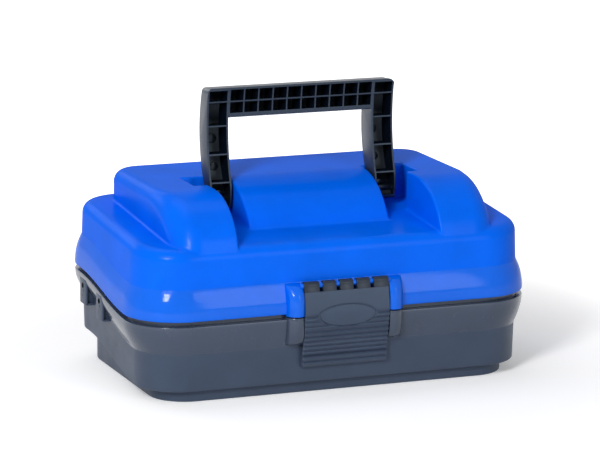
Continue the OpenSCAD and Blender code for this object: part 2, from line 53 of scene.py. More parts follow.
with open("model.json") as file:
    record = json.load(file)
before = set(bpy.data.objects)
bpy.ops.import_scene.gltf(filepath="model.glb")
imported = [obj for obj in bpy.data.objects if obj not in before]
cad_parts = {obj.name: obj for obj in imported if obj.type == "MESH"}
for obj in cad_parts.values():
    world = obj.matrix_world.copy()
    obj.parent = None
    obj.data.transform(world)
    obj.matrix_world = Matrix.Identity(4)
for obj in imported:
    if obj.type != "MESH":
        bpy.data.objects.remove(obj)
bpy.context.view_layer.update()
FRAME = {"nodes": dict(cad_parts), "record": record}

IMAGE_WIDTH = 600
IMAGE_HEIGHT = 470
SENSOR_WIDTH = 36.0


class Slot(Enum):
    """The record's material slots."""

    BLUE = "blue_plastic"
    SLATE = "slate_plastic"
    BLACK = "black_plastic"
    TRAY = "tray_plastic"
    STEEL = "steel"


# ---------------------------------------------------------------- finishes


class NodeBench:
    """The node tree of a material or a world, with short calls for filling it."""

    def __init__(self, owner: bpy.types.ID, shader: str = "Principled BSDF") -> None:
        """Starts from the shader that a new material or world has.

        Args:
            owner: the new material or world.
            shader: the name of its shader node.
        """
        owner.use_nodes = True
        self.owner = owner
        self.tree = owner.node_tree
        self.shader = self.tree.nodes[shader]

    @cached_property
    def coordinates(self) -> Socket:
        """Gives the coordinates of the object that has the material."""
        return self.add("ShaderNodeTexCoord", "Object")

    def fill(self, node: bpy.types.Node, inputs: Mapping[str | int, object]) -> None:
        """Fills inputs of a node.

        Args:
            node: the node.
            inputs: a fixed value or another node's output for each input.
        """
        for key, given in inputs.items():
            if isinstance(given, bpy.types.NodeSocket):
                self.tree.links.new(given, node.inputs[key])
            else:
                node.inputs[key].default_value = given

    def add(
        self, kind: str, output: str, inputs: Mapping[str | int, object] | None = None,
        **settings: object,
    ) -> Socket:
        """Adds a node.

        Args:
            kind: the node's type name.
            output: the output that is wanted.
            inputs: what its inputs are filled with.
            settings: its plain properties.

        Returns:
            The wanted output.
        """
        node = self.tree.nodes.new(kind)
        for key, value in settings.items():
            setattr(node, key, value)
        self.fill(node, inputs or {})
        return node.outputs[output]

    def stretched(self, scale: Point, turn: Point = (0.0, 0.0, 0.0)) -> Socket:
        """Gives the object's coordinates, turned by angles in radians and scaled."""
        inputs = {"Vector": self.coordinates, "Scale": scale, "Rotation": turn}
        return self.add("ShaderNodeMapping", "Vector", inputs)

    def noise(
        self, size_mm: float, detail: float, roughness: float, vector: Socket | None = None
    ) -> Socket:
        """Adds a noise.

        Args:
            size_mm: the size of its features.
            detail: how many finer layers it has.
            roughness: how strong the finer layers are.
            vector: coordinates to use in place of the object's.

        Returns:
            The noise's value, about 0.5 on average.
        """
        return self.add("ShaderNodeTexNoise", "Fac", {
            "Scale": 1.0 / (size_mm * MM), "Detail": detail, "Roughness": roughness,
            "Vector": vector or self.coordinates,
        })

    def spread(self, value: Socket, source: Spot, target: Spot, **settings: object) -> Socket:
        """Maps a value from one range to another, held at the ends."""
        ends = zip(("From Min", "From Max", "To Min", "To Max"), (*source, *target))
        return self.add("ShaderNodeMapRange", "Result", {"Value": value, **dict(ends)}, **settings)

    def colour_mix(self, share: Socket, low: Sequence[float], high: Sequence[float]) -> Socket:
        """Mixes two linear colours by a share."""
        inputs = {"Factor": share, "A": (*low, 1.0), "B": (*high, 1.0)}
        return self.add("ShaderNodeMix", "Result", inputs, data_type="RGBA")

    def maths(self, operation: str, first: Socket, second: Socket) -> Socket:
        """Joins two values by an operation."""
        return self.add("ShaderNodeMath", "Value", {0: first, 1: second}, operation=operation)

    def seen(self) -> Socket:
        """Gives 1 for rays from the camera, off gloss or through glass, and 0 for others."""
        camera, gloss, glass = (self.add("ShaderNodeLightPath", f"Is {kind} Ray")
                                for kind in ("Camera", "Glossy", "Transmission"))
        return self.maths("MAXIMUM", self.maths("MAXIMUM", camera, gloss), glass)

    def bumps(self, layers: Iterable[tuple[Socket, float]]) -> None:
        """Stacks bump layers on the shader's normal.

        Args:
            layers: each layer's height map and its depth in mm.
        """
        below: dict[str | int, object] = {}
        for height, depth_mm in layers:
            inputs = {"Strength": 1.0, "Distance": depth_mm * MM, "Height": height, **below}
            below = {"Normal": self.add("ShaderNodeBump", "Normal", inputs)}
        self.fill(self.shader, below)


def shade(colour: Sequence[float], factor: float) -> tuple[float, ...]:
    """Gives a colour made lighter or darker by a factor."""
    return tuple(min(1.0, part * factor) for part in colour)


# The range that most of a noise lies in.
NOISE_SPAN = (0.3, 0.7)


@dataclass(frozen=True)
class MouldedPlastic:
    """A coloured plastic from a steel mould, with its grain, flow clouds and scuffs."""

    name: str
    colour: Point
    roughness: float
    roughness_spread: float = 0.05
    haze_mm: float = 22.0
    grain_mm: float = 0.5
    grain_depth_mm: float = 0.006
    wave_mm: float = 40.0
    wave_depth_mm: float = 0.05
    cloud: float = 0.06
    scratch_mm: float = 1.4
    scratched: Spot = (0.60, 0.78)
    scuff: float = 0.08
    coat: float = 0.0
    coat_roughness: float = 0.08
    specular: float = 0.5
    tint: Point = (1.0, 1.0, 1.0)
    translucency: float = 0.0
    translucency_mm: float = 3.0

    def build(self) -> bpy.types.Material:
        """Makes the material.

        Returns:
            The material, on the piece's own object coordinates.
        """
        bench = NodeBench(bpy.data.materials.new(self.name))
        clouds = bench.spread(bench.noise(self.wave_mm * 0.9, 3.0, 0.6), NOISE_SPAN, (0.0, 1.0))
        along = bench.stretched((1.0, 0.06, 0.4), (0.2, 0.3, 0.6))
        scratches = bench.noise(self.scratch_mm, 4.0, 0.7, along)
        haze = bench.spread(
            bench.noise(self.haze_mm, 4.0, 0.65), NOISE_SPAN,
            (self.roughness - self.roughness_spread, self.roughness + self.roughness_spread),
        )
        worn = bench.spread(scratches, self.scratched, (0.0, self.scuff))
        bench.fill(bench.shader, {
            "Base Color": bench.colour_mix(
                clouds, shade(self.colour, 1.0 - self.cloud), shade(self.colour, 1.0 + self.cloud)
            ),
            "Roughness": bench.maths("ADD", haze, worn),
            "Coat Weight": self.coat,
            "Coat Roughness": self.coat_roughness,
            "Specular IOR Level": self.specular,
            "Specular Tint": (*self.tint, 1.0),
        })
        if self.translucency:
            bench.fill(bench.shader, {
                "Subsurface Weight": self.translucency,
                "Subsurface Scale": self.translucency_mm * MM,
                "Subsurface Radius": (1.0, 1.0, 1.0),
            })
        bench.bumps((
            (bench.noise(self.grain_mm, 3.0, 0.6), self.grain_depth_mm),
            (bench.noise(self.wave_mm, 1.0, 0.4), self.wave_depth_mm),
        ))
        return bench.owner


@dataclass(frozen=True)
class DrawnWire:
    """Bright steel wire with fine lines along its length, which is the X axis here."""

    name: str
    colour: Point = (0.56, 0.57, 0.59)
    roughness: Spot = (0.22, 0.4)
    line_mm: float = 0.25
    line_depth_mm: float = 0.01

    def build(self) -> bpy.types.Material:
        """Makes the material.

        Returns:
            The material, on the piece's own object coordinates.
        """
        bench = NodeBench(bpy.data.materials.new(self.name))
        lines = bench.noise(self.line_mm, 3.0, 0.6, bench.stretched((0.03, 1.0, 1.0)))
        bench.fill(bench.shader, {
            "Metallic": 1.0,
            "Base Color": bench.colour_mix(lines, shade(self.colour, 0.8), shade(self.colour, 1.1)),
            "Roughness": bench.spread(lines, NOISE_SPAN, self.roughness),
        })
        bench.bumps(((lines, self.line_depth_mm),))
        return bench.owner


BLUE = (0.0, 0.124, 0.82)
BLUE_BAND = (0.0, 0.118, 0.72)
SLATE_GREY = (0.042, 0.060, 0.099)
NEAR_BLACK = (0.012, 0.019, 0.035)
# Far darker than the handle's own black: painted shade for the insides of its cells.
PAINTED_SHADE_BLACK = (0.002, 0.004, 0.009)
MIST = (0.46, 0.49, 0.54)


class Finishes:
    """Every material of the box, made once."""

    def __init__(self) -> None:
        """Makes the materials."""
        blue = {"specular": 0.0, "tint": (0.04, 0.35, 1.0)}
        slate = {"specular": 0.3, "tint": (0.8, 0.9, 1.0)}
        black = {"tint": (0.7, 0.85, 1.0)}
        self.blue_satin = MouldedPlastic(
            "blue_satin", BLUE, 0.5, grain_mm=0.45, coat=0.13, coat_roughness=0.22, **blue,
        ).build()
        self.blue_gloss = MouldedPlastic(
            "blue_gloss", BLUE_BAND, 0.22, grain_depth_mm=0.001, scuff=0.02, coat=0.36,
            coat_roughness=0.09, **blue,
        ).build()
        self.slate_satin = MouldedPlastic(
            "slate_satin", SLATE_GREY, 0.46, grain_depth_mm=0.014, cloud=0.08, **slate,
        ).build()
        self.slate_gloss = MouldedPlastic(
            "slate_gloss", shade(SLATE_GREY, 0.9), 0.24, grain_depth_mm=0.002, scuff=0.02,
            coat=0.4, **slate,
        ).build()
        # The slate darkened to 0.3, and made smoother, for the latch's knuckles: painted shade on
        # the knuckles.
        self.slate_smooth_painted_shade = MouldedPlastic(
            "slate_smooth_painted_shade", shade(SLATE_GREY, 0.3), 0.3, grain_depth_mm=0.002, scuff=0.04, **slate,
        ).build()
        self.black = MouldedPlastic(
            "black_satin", NEAR_BLACK, 0.36, grain_depth_mm=0.008, cloud=0.1, specular=0.45,
            **black,
        ).build()
        # A far darker copy of the handle's black for the insides of its cells and the bosses there:
        # painted shade in the recesses.
        self.painted_shade_black = MouldedPlastic(
            "black_cells_painted_shade", PAINTED_SHADE_BLACK, 0.3, grain_depth_mm=0.002, specular=0.3, **black,
        ).build()
        self.tray = MouldedPlastic("tray_mist", MIST, 0.3, cloud=0.03, translucency=0.35).build()
        self.steel = DrawnWire("drawn_steel").build()


# ---------------------------------------------------------------- outlines and heights


def share_between(at: Reals, start: Reals, full: Reals, least: float = 0.0) -> Reals:
    """Gives the least share up to start, 1 from full on, and a straight rise between them."""
    return np.clip((at - start) / (full - start), least, 1.0)


@dataclass(frozen=True)
class Outline:
    """A rounded rectangle seen from above, in mm."""

    half_x: float
    half_y: float
    radius: float
    corner_steps: ClassVar[int] = 14
    side_steps: ClassVar[int] = 24
    front_steps: ClassVar[int] = 12

    def inset(self, by: float) -> Outline:
        """Gives the outline moved inwards."""
        return Outline(self.half_x - by, self.half_y - by, max(self.radius - by, 1.0))

    def toward(self, other: Outline, share: float) -> Outline:
        """Gives the outline at a share of the way to another one."""
        return Outline(*(a + (b - a) * share for a, b in zip(astuple(self), astuple(other))))

    def points(self) -> list[Spot]:
        """Gives points round the outline, anticlockwise from the end of the front edge.

        Returns:
            The points as (x, y).
        """
        cx, cy = self.half_x - self.radius, self.half_y - self.radius
        corners = ((cx, -cy), (cx, cy), (-cx, cy), (-cx, -cy))
        spots: list[Spot] = []
        for quarter, (x, y) in enumerate(corners):
            for i in range(self.corner_steps + 1):
                angle = math.radians(90 * quarter - 90 + 90 * i / self.corner_steps)
                spots.append((x + self.radius * math.cos(angle), y + self.radius * math.sin(angle)))
            run = self.front_steps if quarter % 2 else self.side_steps
            next_x, next_y = corners[(quarter + 1) % 4]
            last_x, last_y = spots[-1]
            spots += [(last_x + (next_x - x) * i / run, last_y + (next_y - y) * i / run)
                      for i in range(1, run)]
        return spots

    def distance(self, x: np.ndarray, y: np.ndarray) -> np.ndarray:
        """Gives how far points lie outside the outline; inside counts below 0.

        Args:
            x, y: the points' places, in mm.

        Returns:
            One distance for each point.
        """
        qx = np.abs(x) - self.half_x + self.radius
        qy = np.abs(y) - self.half_y + self.radius
        outside = np.hypot(np.maximum(qx, 0.0), np.maximum(qy, 0.0))
        return outside + np.minimum(np.maximum(qx, qy), 0.0) - self.radius


@dataclass(frozen=True)
class Body:
    """The outlines and the swept heights that base and lid share, in mm."""

    rim: Outline = Outline(170.0, 102.4, 44.0)
    lid_wall: Outline = Outline(164.7, 96.9, 40.0)
    base_head: Outline = Outline(162.5, 99.0, 38.0)
    base_foot: Outline = Outline(161.5, 98.1, 36.4)
    plinth: Outline = Outline(150.5, 92.8, 30.0)
    wall: float = 2.4
    sweep_depths: Spot = (-68.0, 58.7)
    seam_heights: Spot = (66.5, 81.7)
    band_heights: Spot = (39.3, 59.1)
    plinth_heights: Spot = (9.3, 26.8)
    rim_gap: float = 4.0
    tongue_height: float = 9.0
    lid_band: float = 24.6
    deck_height: float = 128.3
    deck_slope: float = 0.0745
    deck_levels_from: float = 40.0
    deck_levelling: float = 0.0008

    def swept(self, heights: Spot, y: Reals) -> Reals:
        """Gives the height of a line that rises in a smooth S from the front to the rear.

        Args:
            heights: the line's height along the front and along the rear.
            y: where it is wanted.

        Returns:
            The height at y.
        """
        share = share_between(y, *self.sweep_depths)
        return heights[0] + (heights[1] - heights[0]) * ((1.0 - np.cos(np.pi * share)) / 2.0)

    def seam(self, y: Reals) -> Reals:
        """Gives the height of the lid's lower edge."""
        return self.swept(self.seam_heights, y)

    def ledge(self, y: Reals) -> Reals:
        """Gives the height of the base's rim, below the gap."""
        return self.seam(y) - self.rim_gap

    def band_foot(self, y: Reals) -> Reals:
        """Gives the height of the lower edge of the base's band."""
        return self.swept(self.band_heights, y)

    def plinth_top(self, y: Reals) -> Reals:
        """Gives the height of the foot plinth."""
        return self.swept(self.plinth_heights, y)

    def band_top(self, y: Reals) -> Reals:
        """Gives the height of the upper edge of the lid's band."""
        return self.seam(y) + self.lid_band

    def deck(self, y: Reals) -> Reals:
        """Gives the height of the lid's lower deck, which levels out towards the rear."""
        drop = self.deck_levelling * np.maximum(y - self.deck_levels_from, 0.0) ** 2
        return self.deck_height + self.deck_slope * y - drop


BODY = Body()


# ---------------------------------------------------------------- mesh helpers


class RingSkin:
    """A skin that grows ring by ring, each ring extruded from the last."""

    def __init__(self) -> None:
        """Starts with no ring."""
        self.bm = bmesh.new()
        self.first: list[BMVert] = []
        self.ring: list[BMVert] = []

    def edges(self, ring: list[BMVert]) -> list[BMEdge]:
        """Gives the edges along a ring."""
        return [self.bm.edges.get((a, b)) for a, b in zip(ring, ring[1:] + ring[:1])]

    def add(self, outline: Outline, height: Height, lift: float = 0.0, finish: int = 0) -> None:
        """Adds a ring on an outline, at a height for each depth y, lifted by a distance."""
        self.add_points([(x, y, float(height(y) + lift)) for x, y in outline.points()], finish)

    def add_points(self, spots: Sequence[Point], finish: int = 0) -> None:
        """Adds a ring through some points.

        Args:
            spots: the ring's points, as many as in every other ring.
            finish: the material index of the faces up to this ring.
        """
        if not self.ring:
            made = bmesh.ops.create_circle(self.bm, cap_ends=False, radius=1.0, segments=len(spots))
            self.ring = self.first = list(made["verts"])
        else:
            geom = bmesh.ops.extrude_edge_only(self.bm, edges=self.edges(self.ring))["geom"]
            fresh = {item for item in geom if isinstance(item, BMVert)}
            for face in (item for item in geom if isinstance(item, BMFace)):
                face.material_index = finish
            self.ring = [next(e.other_vert(v) for e in v.link_edges if e.other_vert(v) in fresh)
                         for v in self.ring]
        for vert, spot in zip(self.ring, spots):
            vert.co = spot

    def rounded(
        self, outline: Outline, height: Height, radius: float, upper: bool,
        first: int = 1, steps: int = 4, finish: int = 0,
    ) -> None:
        """Adds the rings of a quarter round along a wall's upper or lower edge.

        Args:
            outline: the wall's outline.
            height: the edge's height at a depth y.
            radius: the radius.
            upper: whether it is the upper edge.
            first: the first step that gets a ring.
            steps: the steps of the quarter round.
            finish: the material index of the faces up to each ring.
        """
        for i in range(first, steps + 1):
            angle = math.radians(90 * i / steps)
            early, late = radius * (1 - math.sin(angle)), radius * (1 - math.cos(angle))
            inward, lift = (late, -early) if upper else (early, late)
            self.add(outline.inset(inward), height, lift, finish)

    def cap(self, ring: list[BMVert]) -> None:
        """Closes a ring with flat triangles."""
        made = bmesh.ops.contextual_create(self.bm, geom=self.edges(ring))
        bmesh.ops.triangulate(self.bm, faces=made["faces"])

    def close(self) -> None:
        """Joins the last ring to the first."""
        bmesh.ops.bridge_loops(self.bm, edges=self.edges(self.first) + self.edges(self.ring))


def round_edges(
    bm: BMesh, verts: Iterable[BMVert], offset: float, segments: int, sharper_than: float = 30.0
) -> None:
    """Rounds the edges at some vertices that turn by more than an angle.

    Args:
        bm: the mesh.
        verts: the vertices whose edges are rounded.
        offset: the radius.
        segments: the steps round each edge.
        sharper_than: the least turn, in degrees.
    """
    least = math.radians(sharper_than)
    edges = dict.fromkeys(e for v in verts for e in v.link_edges
                          if len(e.link_faces) == 2 and e.calc_face_angle(0.0) > least)
    bmesh.ops.bevel(bm, geom=list(edges), offset=offset, segments=segments, profile=0.5,
                    affect="EDGES", material=-1, clamp_overlap=True)


def block(bm: BMesh, low: Point, high: Point, edge: float = 0.5) -> None:
    """Adds a block with rounded edges.

    Args:
        bm: the mesh to add to.
        low: its lowest corner.
        high: its highest corner.
        edge: the radius of its edges.
    """
    size = Vector(high) - Vector(low)
    place = Matrix.Translation((Vector(high) + Vector(low)) / 2) @ Matrix.Diagonal((*size, 1.0))
    made = bmesh.ops.create_cube(bm, size=1.0, matrix=place)
    round_edges(bm, made["verts"], edge, 2)


def rod(
    bm: BMesh, at: Spot, radius: float, x0: float, x1: float, edge: float = 0.4, segments: int = 32
) -> None:
    """Adds a round rod along X.

    Args:
        bm: the mesh to add to.
        at: its axis as (y, z).
        radius: its radius.
        x0: one end.
        x1: the other end.
        edge: the radius of its end edges.
        segments: the steps round it.
    """
    place = Matrix.Translation(((x0 + x1) / 2, *at)) @ Matrix.Rotation(math.radians(90), 4, "Y")
    made = bmesh.ops.create_cone(
        bm, cap_ends=True, segments=segments, radius1=radius, radius2=radius,
        depth=abs(x1 - x0), matrix=place,
    )
    ends = dict.fromkeys(e for v in made["verts"] for e in v.link_edges
                         if any(len(f.verts) > 4 for f in e.link_faces))
    bmesh.ops.bevel(bm, geom=list(ends), offset=edge, segments=2, profile=0.5,
                    affect="EDGES", material=-1)


def prism(bm: BMesh, profile: Sequence[Spot], x0: float, x1: float, edge: float = 0.0) -> None:
    """Adds a solid with one profile along X.

    Args:
        bm: the mesh to add to.
        profile: the profile's corners as (y, z).
        x0: one end.
        x1: the other end.
        edge: the radius of its sharper edges, or 0.
    """
    verts = [bmesh.ops.create_vert(bm, co=(x0, y, z))["vert"][0] for y, z in profile]
    face = bmesh.ops.contextual_create(bm, geom=verts)["faces"][0]
    made = bmesh.ops.extrude_face_region(bm, geom=[face], use_keep_orig=True)["geom"]
    moved = [item for item in made if isinstance(item, BMVert)]
    bmesh.ops.translate(bm, verts=moved, vec=(x1 - x0, 0.0, 0.0))
    faces = dict.fromkeys(f for v in verts + moved for f in v.link_faces)
    bmesh.ops.recalc_face_normals(bm, faces=list(faces))
    if edge:
        round_edges(bm, verts + moved, edge, 3)


def mirror_left(bm: BMesh) -> None:
    """Adds the mirror image of a mesh on the other side of the YZ plane.

    Args:
        bm: the mesh, which is on the right side.
    """
    geom = list(bm.verts) + list(bm.edges) + list(bm.faces)
    copy = bmesh.ops.duplicate(bm, geom=geom)["geom"]
    verts = [item for item in copy if isinstance(item, BMVert)]
    bmesh.ops.scale(bm, verts=verts, vec=(-1.0, 1.0, 1.0))
    bmesh.ops.reverse_faces(bm, faces=[item for item in copy if isinstance(item, BMFace)])


def place_object(name: str, data: bpy.types.ID) -> bpy.types.Object:
    """Makes an object and links it into the scene.

    Args:
        name: its name.
        data: its mesh, lamp or camera.

    Returns:
        The object.
    """
    made = bpy.data.objects.new(name, data)
    bpy.context.scene.collection.objects.link(made)
    return made


def mesh_object(
    bm: BMesh, name: str, finishes: Sequence[bpy.types.Material | None]
) -> bpy.types.Object:
    """Moves a mesh onto an object.

    Args:
        bm: the mesh, which is freed.
        name: the object's name.
        finishes: its materials, in the order of its material indices.

    Returns:
        The object.
    """
    mesh = bpy.data.meshes.new(name)
    for finish in finishes:
        mesh.materials.append(finish)
    bm.to_mesh(mesh)
    bm.free()
    return place_object(name, mesh)


def add_modifier(piece: bpy.types.Object, kind: str, **settings: object) -> None:
    """Adds a modifier.

    Args:
        piece: the object that it is added to.
        kind: its type.
        settings: its properties.
    """
    made = piece.modifiers.new(kind.lower(), kind)
    for key, value in settings.items():
        setattr(made, key, value)


def modified(*holders: bpy.types.Object) -> BMesh:
    """Takes an object's mesh with its modifiers, and removes what isn't needed any more.

    Args:
        holders: the object, and the others that its modifiers use.

    Returns:
        The mesh.
    """
    made = bmesh.new()
    made.from_object(holders[0], bpy.context.evaluated_depsgraph_get())
    for holder in holders:
        mesh = holder.data
        bpy.data.objects.remove(holder)
        bpy.data.meshes.remove(mesh)
    return made


def remeshed(bm: BMesh, voxel: float) -> BMesh:
    """Gives a closed mesh round all solids of a mesh, with even faces.

    Args:
        bm: the mesh, which is freed.
        voxel: the size of the new faces, in mm.

    Returns:
        The new mesh.
    """
    bmesh.ops.triangulate(bm, faces=[f for f in bm.faces if len(f.verts) > 4])
    holder = mesh_object(bm, "rough", ())
    add_modifier(holder, "REMESH", mode="VOXEL", voxel_size=voxel)
    return modified(holder)


def cut_out(bm: BMesh, cutter: BMesh, finish: int = 0) -> BMesh:
    """Cuts one solid out of another.

    Args:
        bm: the solid, which is freed.
        cutter: what is cut out, which is freed too.
        finish: the material index of the faces that the cut leaves, 0 or 1.

    Returns:
        What is left.
    """
    for face in cutter.faces:
        face.material_index = finish
    for part in (bm, cutter):
        bmesh.ops.recalc_face_normals(part, faces=part.faces)
    holder, other = (mesh_object(part, "cut", (None, None)) for part in (bm, cutter))
    add_modifier(holder, "BOOLEAN", operation="DIFFERENCE", solver="EXACT", object=other)
    return modified(holder, other)


def finish_piece(
    bm: BMesh, name: str, finishes: Sequence[bpy.types.Material], body: str, slot: Slot,
    replaced: Sequence[str] = (), crease: float = 32.0, recalculate: bool = True,
) -> None:
    """Turns a mesh in mm into a piece that rides on a body.

    Args:
        bm: the mesh, which is freed.
        name: the piece's name.
        finishes: its materials, in the order of its material indices.
        body: the CAD body that it rides on.
        slot: the record's slot for its finish, which is not used.
        replaced: the CAD nodes that it stands for.
        crease: edges that turn by more degrees than this stay sharp.
        recalculate: whether the faces are turned outwards first.
    """
    if recalculate:
        bmesh.ops.recalc_face_normals(bm, faces=bm.faces)
    bm.transform(Matrix.Scale(MM, 4))
    piece = mesh_object(bm, name, finishes)
    piece.data.shade_smooth()
    piece.data.set_sharp_from_angle(angle=math.radians(crease))
    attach(piece, body)
    if replaced:
        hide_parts(*replaced)
    log.info("%s: %d faces on %s", name, len(piece.data.polygons), body)


@dataclass
class SubAssembly:
    """Pieces that ride on one body; their slot is handed on but not used."""

    finishes: Finishes
    body: ClassVar[str]
    slot: ClassVar[Slot]

    def piece(self, bm: BMesh, name: str, *looks: bpy.types.Material, **options: object) -> None:
        """Finishes a mesh as a piece of this sub-assembly."""
        finish_piece(bm, name, looks, self.body, self.slot, **options)


# ---------------------------------------------------------------- shared fittings


LATCH_WIDTH = 72.0
LATCH_KNUCKLES = 5
LATCH_FRONT = -110.5
LATCH_AXIS = (-102.6, 88.5)
ARM_REACH = 156.9


@dataclass(frozen=True)
class LatchGuard:
    """The rounded cheek beside the latch, on the lid and below it on the base."""

    sides: Spot = (36.6, 49.2)
    back: float = -96.0
    shoulder: float = -102.5
    crest: float = LATCH_FRONT + 0.5
    bow_start: float = 0.22
    bow_power: float = 0.55
    bow_steps: int = 14

    def plan(self) -> list[Spot]:
        """Gives the cheek's outline seen from above, on the right side.

        Returns:
            The outline's corners as (x, y).
        """
        inner, outer = self.sides
        deep = self.shoulder - self.crest
        bow = []
        for share in (i / self.bow_steps for i in range(self.bow_steps)):
            turn = math.pi * (self.bow_start + (1 - self.bow_start) * share)
            bow.append((inner + (outer - inner) * share,
                        self.shoulder - deep * math.sin(turn) ** self.bow_power))
        return [(inner, self.back), *bow, (outer, self.shoulder), (outer, self.back)]

    def loft(self, levels: Sequence[Spot]) -> BMesh:
        """Builds the cheeks on both sides.

        Args:
            levels: each level's height and its share of the full depth.

        Returns:
            The mesh of both cheeks.
        """
        skin = RingSkin()
        for z, share in levels:
            skin.add_points([(x, self.back + (y - self.back) * share, z) for x, y in self.plan()])
        skin.cap(skin.first)
        skin.cap(skin.ring)
        mirror_left(skin.bm)
        return skin.bm


@dataclass(frozen=True)
class RearHinge:
    """The two rear hinges, whose knuckles belong to the base and the lid in turn."""

    axis: Spot = (104.9, 79.7)
    radius: float = 3.3
    segments: int = 5
    segment: float = 10.0
    centre: float = 100.0
    play: float = 0.2

    def knuckles(self, parity: int, leaf: Spot) -> BMesh:
        """Builds one shell's knuckles of both hinges.

        Args:
            parity: 0 for the base's knuckles and 1 for the lid's.
            leaf: the ends of the leaf that joins them to the shell, as heights above the axis.

        Returns:
            The mesh.
        """
        bm = bmesh.new()
        y, z = self.axis
        start = self.centre - self.segments * self.segment / 2
        for i in range(parity, self.segments, 2):
            x0 = start + i * self.segment + self.play
            x1 = x0 + self.segment - 2 * self.play
            rod(bm, self.axis, self.radius, x0, x1)
            block(bm, (x0, BODY.rim.half_y - 1.8, z + leaf[0]), (x1, y + 1.6, z + leaf[1]), 0.4)
        mirror_left(bm)
        return bm


HINGE = RearHinge()


# ---------------------------------------------------------------- lid


def rounded_and(a: np.ndarray, b: np.ndarray, radius: float) -> np.ndarray:
    """Gives what lies in both of two forms, with a rounded edge where they meet."""
    over = np.hypot(np.maximum(a + radius, 0.0), np.maximum(b + radius, 0.0))
    return np.minimum(np.maximum(a, b), -radius) + over


def rounded_or(a: np.ndarray, b: np.ndarray, radius: Reals) -> np.ndarray:
    """Gives what lies in either of two forms, with a filled inner corner."""
    under = np.hypot(np.maximum(radius - a, 0.0), np.maximum(radius - b, 0.0))
    return np.maximum(np.minimum(a, b), radius) - under


